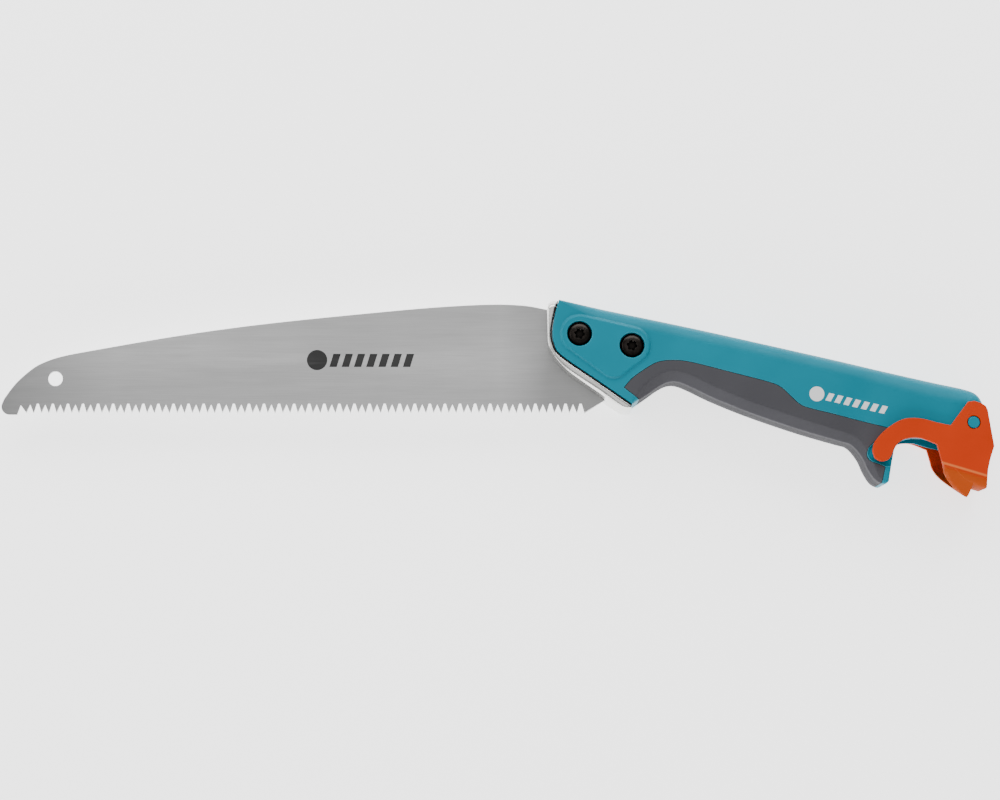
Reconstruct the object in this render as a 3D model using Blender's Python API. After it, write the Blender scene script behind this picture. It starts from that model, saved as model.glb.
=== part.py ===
"""Pruning saw with a fixed blade, a hollow two-shell handle and a swinging pole lever.

The saw lies flat on its right side. World X runs along the tooth line from the blade tip
(-X) to the butt (+X), Y runs from the teeth to the spine, and Z is the saw's width. The
origin lies on the flat pad of the right shell, midway between the two blade screws.

Plan shapes are written in millimetres: the blade in saw axes (x, y), and everything on the
handle in handle axes (u, v), with u running along the handle to the butt and v across it
towards the spine. Heights w are measured from the blade's middle plane, +w to the left side.
"""

import math

import bmesh
import bpy
import numpy as np
from mathutils import Matrix, Vector

MM = 0.001

# Driving dimensions, in millimetres unless the name says otherwise
HANDLE_TILT_DEG = 12.7      # handle axis below the tooth line
PAD_HALF = 17.0             # blade plane to the flat pads, and to the lever's outer faces
FLANK_HALF = 15.75          # blade plane to the handle's flanks
BUTT_HALF = 13.9            # the same at the butt, where the lever straddles it
CAVITY_HALF = 12.2          # blade plane to the shells' inside faces
SOCKET_HALF = 11.6          # the same at the butt
TAPER = (122.0, 143.0)      # u range over which the flanks close in to the butt
GAP = 0.3                   # clearance between neighbouring pieces
WALL = 2.4                  # shell wall on the top and bottom edges
GRIP_SKIN = 1.8             # thickness of the soft grip
BLADE_THICKNESS = 1.2

TOOTH_PITCH = 3.994
TOOTH_DEPTH = 4.8
TOOTH_PAIRS = 37
TOOTH_LINE = -37.0          # y of the tooth tips
LAST_TOOTH_X = -10.8
GULLET_FLAT = 1.1
HANG_HOLE = (-291.3, -18.6, 3.8)        # x, y, radius

SCREW_U = 14.1              # blade screws at u = -SCREW_U and +SCREW_U
SCREW_V = 0.2
SCREW_RADIUS = 2.5
SLEEVE_RADIUS = 4.0         # the nut's sleeve, which the screw threads into
SLEEVE_END = 11.5
HEAD_RADIUS = 6.3
HEAD_SEAT = 13.9            # height of the counterbore's floor
HEAD_TOP = 16.7
HEAD_RIM = 0.5
SOCKET_RADIUS = 2.35        # six-lobed driver socket, and how far its lobes swing from that
SOCKET_LOBE = 0.45
WASHER_RADIUS = 6.0
WASHER_THICKNESS = 0.7
PAD_CORNERS = ((-14.1, 0.2, 10.0), (6.8, -10.8, 8.3), (14.1, 0.2, 9.7))     # u, v, radius

GASKET = 0.5                # black strip between the bolster and the shells
COLLAR_HALF = 15.3
TANG_BLOCK_HALF = CAVITY_HALF - GAP

PIVOT = (197.0, -0.3)
PIVOT_RADIUS = 3.1
PIVOT_HOLE_RADIUS = 3.55
LEVER_INNER = 14.2          # blade plane to the lever plates' inside faces
POCKET_DEPTH = 1.0
POCKET_LEDGE = 0.6          # shell left between the grip and the arm tip's pocket

SHELL_SCREWS = (            # name, u, v, height of the head's seat
    ("front", 36.0, 5.0, 10.5),
    ("middle", 84.0, 1.0, 10.5),
    ("rear", 152.6, -25.4, 8.6),
)
BOSS_RADIUS = 4.0
SHELL_SCREW_RADIUS = 1.6
SHELL_HEAD_RADIUS = 3.0
SHELL_HEAD_HEIGHT = 2.0
SHELL_SCREW_END = 9.5

STOP_U = (98.0, 101.0)      # the pole stop's plate inside the handle
STOP_ROOF = 14.5
STOP_FLOOR = -17.6
STOP_SEAT_U = 103.0         # round seat for the end of an extension pole
STOP_SEAT_V = -0.5
STOP_SEAT_RADIUS = 9.0
RIB = 1.5

# Shell front edge, top to bottom: (u, v, rounding of the flank's edge)
FRONT_EDGE = (
    (-28.6, 15.6, 0.8),
    (-28.9, 8.0, 0.8),
    (-28.4, -1.3, 0.8),
    (-26.1, -7.7, 0.8),
    (-20.7, -13.0, 0.8),
    (1.0, -21.9, 0.8),
    (20.9, -30.0, 0.8),
)
# Underside from the front guard to the foot of the pommel
UNDERSIDE = (
    (22.4, -28.3, 3.0),
    (27.5, -23.0, 6.0),
    (32.8, -17.2, 7.0),
    (37.0, -13.9, 7.0),
    (41.6, -12.7, 7.0),
    (48.3, -13.6, 7.0),
    (62.0, -16.8, 7.0),
    (82.4, -20.2, 7.0),
    (109.2, -23.2, 7.0),
    (131.0, -24.6, 6.5),
    (137.8, -25.3, 6.0),
    (144.4, -30.3, 5.0),
    (149.0, -36.3, 4.5),
    (153.8, -40.7, 3.0),
    (158.5, -41.8, 2.0),
    (160.4, -39.9, 1.5),
)
# Rear face of the pommel, then the arch of the channel up to the butt's mouth
CHANNEL = (
    (160.2, -35.8, 1.5),
    (159.8, -27.6, 1.4),
    (160.1, -21.6, 1.0),
    (163.9, -17.0, 1.0),
    (171.5, -14.5, 1.0),
    (180.0, -14.8, 1.0),
)
BUTT_MOUTH = ((201.5, -15.0, 1.0), (201.5, 6.0, 1.2))
# Top edge from the butt's mouth back to the bolster
TOP_EDGE = (
    (200.6, 10.6, 2.5),
    (196.7, 15.2, 5.5),
    (190.0, 17.1, 9.0),
    (170.0, 17.2, 10.5),
    (112.0, 17.2, 8.5),
    (47.0, 17.2, 8.0),
    (-6.6, 16.4, 7.5),
)
# Outer edge of the bolster's collar, from above the handle down to its lower end
COLLAR_EDGE = (
    (-32.8, 20.0, 1.8),
    (-33.4, 14.0, 1.8),
    (-33.5, 8.5, 1.8),
    (-31.4, 0.0, 1.1),
    (-29.3, -8.0, 1.1),
    (-26.9, -11.5, 1.2),
    (-22.6, -15.8, 1.5),
    (-14.0, -21.1, 2.1),
    (3.6, -28.2, 2.6),
    (14.0, -32.2, 1.6),
    (18.0, -33.0, 1.2),
    (21.2, -32.0, 0.8),
)
# Side view and edge rounding of the casting's top, which carries the handle's section forwards
COLLAR_TOP = (
    (-24.0, 15.9, 7.5),
    (-29.8, 15.7, 7.0),
    (-32.6, 14.2, 5.0),
    (-34.4, 11.0, 3.6),
    (-36.0, 4.0, 1.0),
)
# Upper edge of the soft grip, front to rear, then round the pommel's pocket
GRIP_EDGE = (
    (15.0, -22.4),
    (18.1, -16.7),
    (24.2, -9.9),
    (29.2, -5.6),
    (36.0, -3.1),
    (46.0, -1.8),
    (68.0, -2.4),
    (88.0, -3.1),
    (95.0, -4.4),
    (101.0, -7.9),
    (106.5, -11.0),
    (112.0, -11.9),
    (126.4, -12.2),
    (155.5, -12.8),
)
POCKET_RIM = (
    (153.5, -17.5),
    (149.4, -20.6),
    (146.8, -24.0),
    (146.0, -26.9),
    (146.6, -29.6),
    (149.3, -31.9),
    (153.6, -32.5),
    (156.8, -33.2),
)
# Lever's side plate: the arm's upper edge from the plate to the tip, then its lower edge
ARM_UPPER = (
    (185.6, -4.5),
    (178.0, -4.6),
    (171.6, -4.3),
    (165.6, -5.0),
    (160.0, -7.2),
    (154.6, -12.0),
    (150.6, -17.6),
    (148.5, -22.4),
    (148.4, -26.6),
)
ARM_LOWER = (
    (150.2, -29.8),
    (153.2, -30.9),
    (156.4, -30.0),
    (158.3, -27.6),
    (159.4, -22.3),
    (161.9, -18.1),
    (166.2, -15.6),
    (172.0, -14.5),
    (180.5, -15.8),
)
PLATE_EDGE = (
    (183.3, -21.0),
    (184.9, -24.3),
    (209.1, -25.2),
    (209.2, -17.2),
    (209.9, -10.2),
    (202.8, 7.8),
    (201.3, 9.6),
    (198.4, 10.6),
    (195.0, 10.8),
    (192.0, 9.7),
)
# Web between the side plates. Depths are measured from the bend line, which slopes rearwards.
BEND_START = (191.0, -25.1)
BEND_SLOPE = 0.068
WEB_SECTION = ((0.0, 17.0), (0.9, 16.8), (1.8, 16.2), (2.7, 15.1), (4.4, 12.4))     # depth, w
PROW_SECTION = (*WEB_SECTION, (10.0, 3.4), (11.6, 0.8))
TROUGH_SECTION = (*WEB_SECTION, (5.4, 10.0), (6.1, 6.5), (6.35, 2.5))
HOLLOW_SECTION = ((-17.0, 14.2), (-0.4, 14.2), (1.2, 13.0), (2.7, 11.0))
PROW_HOLLOW = (*HOLLOW_SECTION, (8.8, 1.2))
TROUGH_HOLLOW = (*HOLLOW_SECTION, (3.6, 9.4), (4.1, 7.0))
# u of the web's ends at some depths
PROW_FRONT = (
    (-3.0, 184.0),
    (0.0, 185.3),
    (3.1, 187.3),
    (5.0, 189.2),
    (7.0, 192.2),
    (8.7, 195.4),
    (10.2, 198.8),
    (11.6, 202.4),
)
PROW_REAR = ((0.0, 204.0), (10.5, 204.2), (11.6, 203.2))
TROUGH_FRONT = ((-3.0, 187.0), (0.0, 190.3), (2.45, 194.6), (4.0, 198.3), (6.35, 204.2))
TROUGH_REAR = ((-3.0, 209.1), (0.0, 209.2), (1.9, 209.7), (4.6, 211.0), (5.5, 211.2), (6.35, 210.1))
PROW_HOLLOW_END = 202.2
PROW_RIM = (1.5, 1.7)       # bevel along the prow's front edge: along u, and in w
CREASE = 0.35               # how far the trough stands over the prow at the crease between them
NOSE = (-315.2, -33.4)
NOSE_RADIUS = 4.4
BLADE_SPINE = (
    (-319.2, -31.6),
    (-317.5, -28.2),
    (-311.6, -20.4),
    (-303.5, -13.2),
    (-297.2, -9.7),
    (-288.7, -6.8),
    (-272.8, -3.6),
    (-225.0, 4.7),
    (-177.4, 11.2),
    (-113.8, 17.7),
    (-82.0, 20.3),
    (-58.0, 21.3),
    (-42.0, 20.6),
    (-30.6, 18.5),
)
TANG_EDGE = ((-18.0, 14.0), (20.0, 4.5), (22.5, -9.0), (9.0, -18.0))


def clear_scene():
    for item in list(bpy.data.objects):
        bpy.data.objects.remove(item, do_unlink=True)


def finish(name, colour, roughness, metallic=0.0):
    """A material with one Principled BSDF."""
    made = bpy.data.materials.new(name)
    made.use_nodes = True
    shader = made.node_tree.nodes["Principled BSDF"]
    shader.inputs["Base Color"].default_value = (*colour, 1.0)
    shader.inputs["Roughness"].default_value = roughness
    shader.inputs["Metallic"].default_value = metallic
    return made


def smooth(knots, steps):
    """A Catmull-Rom curve through the knots, which may have any number of coordinates."""
    points = [Vector(k) for k in knots]
    ends = [2 * points[0] - points[1], *points, 2 * points[-1] - points[-2]]
    curve = []
    for i in range(1, len(ends) - 2):
        a, b, c, d = ends[i - 1:i + 3]
        for s in range(steps):
            t = s / steps
            curve.append(0.5 * (2 * b + (c - a) * t + (2 * a - 5 * b + 4 * c - d) * t ** 2
                                + (3 * b - a - 3 * c + d) * t ** 3))
    curve.append(points[-1])
    return [tuple(p) for p in curve]


def circle(centre, radius, count, start_deg=0.0, sweep_deg=360.0):
    """Points on a circle or, with a smaller sweep, on an arc that includes both its ends."""
    spans = count if sweep_deg == 360.0 else count - 1
    angles = [math.radians(start_deg + sweep_deg * i / spans) for i in range(count)]
    return [(centre[0] + radius * math.cos(a), centre[1] + radius * math.sin(a)) for a in angles]


def inset(outline, distances, closed=True):
    """The outline moved to its left (inwards when counter-clockwise) by each point's distance."""
    moved = []
    last = len(outline) - 1
    for i, (point, distance) in enumerate(zip(outline, distances)):
        here = Vector(point[:2])
        before = Vector(outline[i - 1][:2]) if closed or i > 0 else None
        after = Vector(outline[(i + 1) % len(outline)][:2]) if closed or i < last else None
        arrive = (here - before).normalized() if before else (after - here).normalized()
        leave = (after - here).normalized() if after else arrive
        normal = Vector((-arrive.y - leave.y, arrive.x + leave.x)).normalized()
        stretch = max(normal.dot(Vector((-arrive.y, arrive.x))), 0.6)
        moved.append(tuple(here + normal * distance / stretch))
    return moved


def convex_outline(circles, per_circle=20):
    """The outline of a band stretched round some circles, counter-clockwise."""
    points = sorted({p for u, v, r in circles for p in circle((u, v), r, per_circle)})
    halves = []
    for ordered in (points, points[::-1]):
        half = []
        for p in ordered:
            while len(half) > 1 and turn(half[-2], half[-1], p) <= 0:
                half.pop()
            half.append(p)
        halves.append(half[:-1])
    return halves[0] + halves[1]


def turn(a, b, c):
    """Positive where the path a, b, c turns left."""
    return (b[0] - a[0]) * (c[1] - b[1]) - (b[1] - a[1]) * (c[0] - b[0])


def layered(rings):
    """A closed mesh through rings of (x, y, z) points, lowest first, with the end rings capped."""
    mesh = bmesh.new()
    layers = [[mesh.verts.new(Vector(p) * MM) for p in ring] for ring in rings]
    count = len(layers[0])
    for low, high in zip(layers, layers[1:]):
        for i in range(count):
            j = (i + 1) % count
            mesh.faces.new((low[i], low[j], high[j], high[i]))
    mesh.faces.new(layers[0][::-1])
    mesh.faces.new(layers[-1])
    return mesh


def prism(outline, low, high):
    """A counter-clockwise outline extruded in w."""
    return layered([[(*p[:2], z) for p in outline] for z in (low, high)])


def across(section, low, high):
    """A (v, w) section extruded along the handle from u = low to u = high."""
    return layered([[(u, v, w) for v, w in section] for u in (low, high)])


def turned(profile, centre, count=32):
    """A solid of revolution about w, from a profile of (radius, height), lowest first."""
    return layered([[(*p, z) for p in circle(centre, r, count)] for r, z in profile])


def hull(points):
    """The convex solid round some (u, v, w) points."""
    mesh = bmesh.new()
    for p in points:
        mesh.verts.new(Vector(p) * MM)
    bmesh.ops.convex_hull(mesh, input=mesh.verts)
    bmesh.ops.dissolve_limit(mesh, angle_limit=0.01, verts=mesh.verts, edges=mesh.edges)
    return mesh


def closing(u):
    """0 along the grip, 1 at the butt, with a smooth change over TAPER."""
    t = min(max((u - TAPER[0]) / (TAPER[1] - TAPER[0]), 0.0), 1.0)
    return t * t * (3 - 2 * t)


def edge_rings(outline, half_width, depth, steps):
    """Rings up one side of a body, from the foot of its rounded edge to its flank."""
    path = inset(outline, [depth] * len(outline))
    radii = [max(p[2] - depth, 0.2) for p in outline]
    rings = []
    for step in range(steps + 1):
        angle = math.radians(90.0 * step / steps)
        ring = inset(path, [r * (1 - math.cos(angle)) for r in radii])
        heights = [half_width - r * (1 - math.sin(angle)) for r in radii]
        rings.append([(*p, h) for p, h in zip(ring, heights)])
    return rings


def pillow(outline, half_width, base=None, depth=0.0, steps=4):
    """A body with rounded edges: both sides of the blade plane, or with a base one side only.

    Each outline point brings its own edge rounding. depth makes a copy that lies inside the
    original by that much on the edges, for cavities and for the layer under the grip.
    """
    rings = edge_rings(outline, half_width, depth, steps)
    if base is None:
        rings = [[(u, v, -w) for u, v, w in ring] for ring in rings[::-1]] + rings
    else:
        rings = [[(u, v, base) for u, v, _ in rings[0]]] + rings
    return layered(rings)


def taper_to_butt(mesh, half_width, butt_half, base):
    """Closes the flank of a one-sided pillow in towards the butt."""
    for share in (0.0, 0.25, 0.5, 0.75, 1.0):
        station = (TAPER[0] + share * (TAPER[1] - TAPER[0])) * MM
        parts = [*mesh.verts, *mesh.edges, *mesh.faces]
        bmesh.ops.bisect_plane(mesh, geom=parts, dist=1e-7, plane_co=(station, 0, 0),
                               plane_no=(1, 0, 0))
    for vert in mesh.verts:
        if vert.co.z > base * MM:
            vert.co.z *= 1 - closing(vert.co.x / MM) * (1 - butt_half / half_width)
    return mesh


def handle_half(outline, half_width, butt_half, base, depth=0.0, steps=4):
    body = pillow(outline, half_width, base, depth, steps)
    return taper_to_butt(body, half_width, butt_half, base)


def place(name, mesh, parent, material=None, flip=False, offset=(0.0, 0.0)):
    """Makes an object from a mesh, mirrored to the right side if flip is set."""
    if offset != (0.0, 0.0):
        bmesh.ops.translate(mesh, verts=mesh.verts, vec=(-offset[0] * MM, -offset[1] * MM, 0))
    if flip:
        bmesh.ops.transform(mesh, matrix=Matrix.Scale(-1, 4, (0, 0, 1)), verts=mesh.verts)
    bmesh.ops.recalc_face_normals(mesh, faces=mesh.faces)
    data = bpy.data.meshes.new(name)
    mesh.to_mesh(data)
    mesh.free()
    item = bpy.data.objects.new(name, data)
    bpy.context.scene.collection.objects.link(item)
    item.parent = parent
    if material:
        data.materials.append(material)
        data.shade_smooth()
        data.set_sharp_from_angle(angle=math.radians(30))
    else:
        item.hide_render = True
        item.display_type = "WIRE"
    return item


def combine(target, operation, mesh, flip=False, offset=(0.0, 0.0)):
    """Adds a Boolean with a hidden tool made from the mesh, and returns the tool."""
    tool = place("tool_" + target.name, mesh, target.parent, flip=flip, offset=offset)
    boolean = target.modifiers.new(operation.lower(), "BOOLEAN")
    boolean.operation = operation
    boolean.solver = "EXACT"
    boolean.object = tool
    return tool


def empty(name, parent=None, location=(0.0, 0.0, 0.0), turn_deg=0.0):
    item = bpy.data.objects.new(name, None)
    bpy.context.scene.collection.objects.link(item)
    item.parent = parent
    item.location = Vector(location) * MM
    item.rotation_euler.z = math.radians(turn_deg)
    return item


def handle_outline():
    """The handle's whole side view, counter-clockwise from the top of its front edge."""
    return (smooth(FRONT_EDGE, 2) + smooth(UNDERSIDE, 2) + smooth(CHANNEL, 2)
            + list(BUTT_MOUTH) + smooth(TOP_EDGE, 2))


def front_curve(forward):
    """The shells' front edge moved forwards, top to bottom."""
    curve = smooth([k[:2] for k in FRONT_EDGE], 2)
    return inset(curve, [-forward] * len(curve), closed=False)


def cavity_outline():
    """The handle's hollow: open past the front edge, the channel and the butt's mouth."""
    front_roof = TOP_EDGE[-1][1] - WALL
    roof = TOP_EDGE[3][1] - WALL
    rear_wall = CHANNEL[1][0] - WALL
    front = [(-33.5, front_roof, 7.5)]
    front += [(u, v, 1.0) for u, v in front_curve(4.0)[:-1] if v < 5.0]
    wall = WALL + GRIP_SKIN
    lower = smooth(UNDERSIDE[1:], 2)
    moved = inset(lower, [wall] * len(lower), closed=False)
    under = [(17.3, -26.6, 1.0)]
    under += [(*p, k[2] - wall + 0.4) for p, k in zip(moved, lower) if p[0] < 154.0]
    pommel = [(rear_wall, -35.0, 1.0), (rear_wall, -20.4, 1.0)]
    channel = [(165.0, -20.4, 1.0), (168.0, -32.0, 1.0), (215.0, -32.0, 1.0)]
    top = [(215.0, roof, 9.0), (170.0, roof, 9.0), (112.0, roof, 8.5), (47.0, roof, 8.0)]
    return front + under + pommel + channel + top + [(-6.6, front_roof, 7.5)]


def grip_zone(margin):
    """The side view of the soft grip, running out below the handle."""
    rear = POCKET_RIM[-1][0]
    outline = [(25.6, -27.3), (27.0, -50.0), (rear, -50.0)]
    outline += smooth(POCKET_RIM, 2)[::-1]
    outline += smooth(GRIP_EDGE, 2)[::-1]
    return inset(outline, [-margin] * len(outline))


def pocket_outline():
    """The arm tip's pocket: the rim in front and below, open to the channel behind it."""
    rim = smooth(POCKET_RIM, 2)
    moved = inset(rim, [POCKET_LEDGE] * len(rim), closed=False)
    return moved + [(163.0, -31.5), (164.0, -19.0), (158.0, -14.5)]


def lever_plate_outline():
    return smooth(ARM_UPPER, 2) + smooth(ARM_LOWER, 2) + list(PLATE_EDGE)


def blade_outline():
    """The blade's side view in saw axes, counter-clockwise from the spine's front end."""
    spine = smooth(BLADE_SPINE, 2)
    nose = circle(NOSE, NOSE_RADIUS, 7, 170.0, 100.0) + [(-311.2, -37.8), (-309.4, -32.6)]
    teeth = []
    for pair in range(TOOTH_PAIRS, -1, -1):
        tip = LAST_TOOTH_X - 2 * pair * TOOTH_PITCH
        gullet = TOOTH_LINE + TOOTH_DEPTH
        teeth.append((tip, TOOTH_LINE))
        if pair:
            teeth.append((tip + TOOTH_PITCH / 2, gullet))
            teeth.append((tip + TOOTH_PITCH, TOOTH_LINE))
            middle = tip + 1.5 * TOOTH_PITCH
            teeth.append((middle - GULLET_FLAT / 2, gullet + 0.6))
            teeth.append((middle + GULLET_FLAT / 2, gullet + 0.6))
    heel = [(1.6, -29.1), *TANG_EDGE[::-1]]
    return nose + teeth + heel + spine[::-1]


def tang_outline(margin):
    """The blade's rear part without teeth, for the slot it sits in."""
    outline = [(-60.0, 21.3), (-60.0, TOOTH_LINE), (-8.0, TOOTH_LINE), (1.6, -29.1)]
    outline += [*TANG_EDGE[::-1], *BLADE_SPINE[::-1][:2]]
    return inset(outline, [-margin] * len(outline))


def make_blade(saw_axes, steel):
    half = BLADE_THICKNESS / 2
    blade = place("saw_blade", prism(blade_outline(), -half, half), saw_axes, steel)
    *hang_centre, hang_radius = HANG_HOLE
    combine(blade, "DIFFERENCE", prism(circle(hang_centre, hang_radius, 24), -5.0, 5.0))
    tilt = math.radians(HANDLE_TILT_DEG)
    for u in (-SCREW_U, SCREW_U):
        centre = (u * math.cos(tilt) + SCREW_V * math.sin(tilt),
                  SCREW_V * math.cos(tilt) - u * math.sin(tilt))
        hole = prism(circle(centre, SLEEVE_RADIUS + GAP, 20), -5.0, 5.0)
        combine(blade, "DIFFERENCE", hole)


def collar_outline():
    """The bolster's collar: its own outer edge, and the shells' front edge less the gasket."""
    rear = front_curve(GASKET + 2 * GAP)[::-1]
    top = (rear[-1][0], COLLAR_EDGE[0][1])
    return smooth(COLLAR_EDGE, 2) + [(*p, 0.2) for p in [*rear, top]]


def casting_envelope():
    """The handle's section carried forwards, which gives the collar and gasket their top."""
    low = -40.0
    rear = 40.0
    top_corner = (rear, *COLLAR_TOP[0][1:])
    return [(-40.0, low, 1.0), (rear, low, 1.0), top_corner, *smooth(COLLAR_TOP, 3)]


def tang_block_outline():
    """The casting's block between the shells, reaching forwards into the collar."""
    roof = TOP_EDGE[-1][1] - WALL - GAP
    front = front_curve(GASKET + 2 * GAP + 1.2)
    outline = [(front[0][0], roof, 7.2)]
    outline += [(u, v, 0.6) for u, v in front if v < 5.0 and u < 11.0]
    return outline + [(12.5, -26.0, 0.6), (26.5, -15.0, 0.6), (26.5, roof, 7.2)]


def make_bolster(handle_axes, saw_axes, alloy):
    """One casting: the collar round the blade and the slotted block between the shells."""
    collar = pillow(collar_outline(), COLLAR_HALF)
    bolster = place("bolster", collar, handle_axes, alloy)
    combine(bolster, "INTERSECT", pillow(casting_envelope(), COLLAR_HALF + 0.2))
    combine(bolster, "UNION", pillow(tang_block_outline(), TANG_BLOCK_HALF))
    slot_half = BLADE_THICKNESS / 2 + GAP
    slot = combine(bolster, "DIFFERENCE", prism(tang_outline(GAP), -slot_half, slot_half))
    slot.parent = saw_axes
    for u in (-SCREW_U, SCREW_U):
        hole = prism(circle((u, SCREW_V), SLEEVE_RADIUS + GAP, 20), -20.0, 20.0)
        combine(bolster, "DIFFERENCE", hole)


def make_gasket(handle_axes, rubber):
    """A thin frame that follows the shells' front ends on both sides, over and under the block."""
    outer = front_curve(GAP + GASKET)
    inner = front_curve(GAP)
    band = outer + inner[::-1]
    gasket = place("bolster_gasket", prism(band, -PAD_HALF, PAD_HALF), handle_axes, rubber)
    combine(gasket, "INTERSECT", pillow(casting_envelope(), COLLAR_HALF))
    combine(gasket, "DIFFERENCE", pillow(tang_block_outline(), CAVITY_HALF, depth=-GAP))


def shell_body(name, handle_axes, material, flip):
    """A shell half: outer form, less the grip's seat and the hollow, plus the screw pad."""
    outline = handle_outline()
    base = GAP / 2
    shell = place(name, handle_half(outline, FLANK_HALF, BUTT_HALF, base), handle_axes, material, flip)
    seat = combine(shell, "DIFFERENCE", prism(grip_zone(GAP), -1.0, FLANK_HALF + 1), flip)
    depth = GRIP_SKIN + GAP
    core = handle_half(outline, FLANK_HALF - depth, BUTT_HALF - depth, -2.0, depth)
    combine(seat, "DIFFERENCE", core, flip)
    hollow = handle_half(cavity_outline(), CAVITY_HALF, SOCKET_HALF, -1.0, steps=3)
    combine(shell, "DIFFERENCE", hollow, flip)
    chamfer = 0.7
    pad = convex_outline(PAD_CORNERS)
    top = inset(pad, [chamfer] * len(pad))
    middle = (FLANK_HALF + CAVITY_HALF) / 2
    levels = ((pad, middle), (pad, PAD_HALF - chamfer), (top, PAD_HALF))
    combine(shell, "UNION", layered([[(*p, z) for p in ring] for ring, z in levels]), flip)
    return shell


def add_inner_features(shell, flip):
    """Screw bosses and the pole stop's ribs."""
    for _, u, v, _ in SHELL_SCREWS:
        boss = prism(circle((u, v), BOSS_RADIUS, 12), GAP / 2, CAVITY_HALF + 0.4)
        combine(shell, "UNION", boss, flip)
    for low in (STOP_U[0] - GAP - RIB, STOP_U[1] + GAP):
        box = [(low, -14.0), (low + RIB, -14.0), (low + RIB, 8.0), (low, 8.0)]
        combine(shell, "UNION", prism(box, CAVITY_HALF - RIB, CAVITY_HALF + 1.0), flip)


def cut_side_holes(shell, flip):
    """Counterbores and holes for the blade screws, the lever's pocket and its pivot pin."""
    shank = SLEEVE_RADIUS if flip else SCREW_RADIUS
    for u in (-SCREW_U, SCREW_U):
        centre = (u, SCREW_V)
        counterbore = prism(circle(centre, HEAD_RADIUS + GAP, 24), HEAD_SEAT, PAD_HALF + 2)
        combine(shell, "DIFFERENCE", counterbore, flip)
        hole = prism(circle(centre, shank + GAP, 20), 5.0, PAD_HALF + 2)
        combine(shell, "DIFFERENCE", hole, flip)
    pocket = prism(pocket_outline(), BUTT_HALF - POCKET_DEPTH, FLANK_HALF + 1)
    combine(shell, "DIFFERENCE", pocket, flip)
    pin_hole = prism(circle(PIVOT, PIVOT_RADIUS + GAP, 20), 8.0, FLANK_HALF)
    combine(shell, "DIFFERENCE", pin_hole, flip)


def make_shells(handle_axes, teal):
    """Both halves. The shell screws go in from the right and bite in the left half's bosses."""
    left = shell_body("left_shell", handle_axes, teal, flip=False)
    right = shell_body("right_shell", handle_axes, teal, flip=True)
    for shell, flip in ((left, False), (right, True)):
        add_inner_features(shell, flip)
        cut_side_holes(shell, flip)
    for _, u, v, seat in SHELL_SCREWS:
        pilot = prism(circle((u, v), SHELL_SCREW_RADIUS + GAP, 10), -1.0, SHELL_SCREW_END + 1)
        combine(left, "DIFFERENCE", pilot)
        through = prism(circle((u, v), SHELL_SCREW_RADIUS + GAP, 10), -1.0, FLANK_HALF + 1)
        combine(right, "DIFFERENCE", through, flip=True)
        head = prism(circle((u, v), SHELL_HEAD_RADIUS + GAP, 14), seat, FLANK_HALF + 1)
        combine(right, "DIFFERENCE", head, flip=True)
    return left, right


def make_grip(name, handle_axes, soft, flip):
    """The soft skin: the handle's outer form inside the grip's outline, less the layer below."""
    outline = handle_outline()
    base = GAP / 2
    grip = place(name, handle_half(outline, FLANK_HALF, BUTT_HALF, base), handle_axes, soft, flip)
    combine(grip, "INTERSECT", prism(grip_zone(0.0), -1.0, FLANK_HALF + 1), flip)
    under = handle_half(outline, FLANK_HALF - GRIP_SKIN, BUTT_HALF - GRIP_SKIN, -2.0, GRIP_SKIN)
    combine(grip, "DIFFERENCE", under, flip)


def six_lobes(centre):
    """The outline of a six-lobed driver socket."""
    points = []
    for step in range(24):
        angle = math.radians(15.0 * step)
        radius = SOCKET_RADIUS + SOCKET_LOBE * math.cos(6 * angle)
        points.append((centre[0] + radius * math.cos(angle), centre[1] + radius * math.sin(angle)))
    return points


def dome(seat):
    """The profile of a button head from its seat: (radius, height) up to the flat round the socket."""
    foot = seat + HEAD_RIM
    angles = [math.radians(a) for a in (0, 25, 50, 70)]
    full_rise = (HEAD_TOP - foot) / math.sin(angles[-1])
    arc = [(HEAD_RADIUS * math.cos(a), foot + full_rise * math.sin(a)) for a in angles]
    return [(HEAD_RADIUS, seat), *arc]


def make_blade_screw(name, u, handle_axes, black):
    """Button-head screw with a six-lobed socket, from the left shell into the sleeve nut."""
    seat = HEAD_SEAT + GAP
    profile = [(SCREW_RADIUS, 1.5 - HEAD_SEAT), (SCREW_RADIUS, seat), *dome(seat)]
    screw = place(name, turned(profile, (u, SCREW_V), 28), handle_axes, black)
    combine(screw, "DIFFERENCE", prism(six_lobes((u, SCREW_V)), HEAD_TOP - 1.9, HEAD_TOP + 2))


def make_sleeve_nut(name, u, handle_axes, black):
    """Button head on the right side, with a threaded sleeve through the block and the blade."""
    centre = (u, SCREW_V)
    seat = HEAD_SEAT + 2 * GAP + WASHER_THICKNESS
    profile = [(SLEEVE_RADIUS, -SLEEVE_END), (SLEEVE_RADIUS, seat), *dome(seat)]
    nut = place(name, turned(profile, centre, 28), handle_axes, black, flip=True)
    combine(nut, "DIFFERENCE", prism(six_lobes(centre), HEAD_TOP - 1.2, HEAD_TOP + 2), flip=True)
    bore = prism(circle(centre, SCREW_RADIUS + GAP, 20), 1.0 - HEAD_SEAT, SLEEVE_END + 1.0)
    combine(nut, "DIFFERENCE", bore)


def make_lock_washer(name, u, handle_axes, zinc):
    """Split washer between the sleeve nut's head and the counterbore's floor."""
    centre = (u, SCREW_V)
    outer = circle(centre, WASHER_RADIUS, 21, 50.0, 350.0)
    inner = circle(centre, SLEEVE_RADIUS + GAP, 21, 50.0, 350.0)
    high = -HEAD_SEAT - GAP
    ring = prism(outer + inner[::-1], high - WASHER_THICKNESS, high)
    place(name, ring, handle_axes, zinc)


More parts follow.
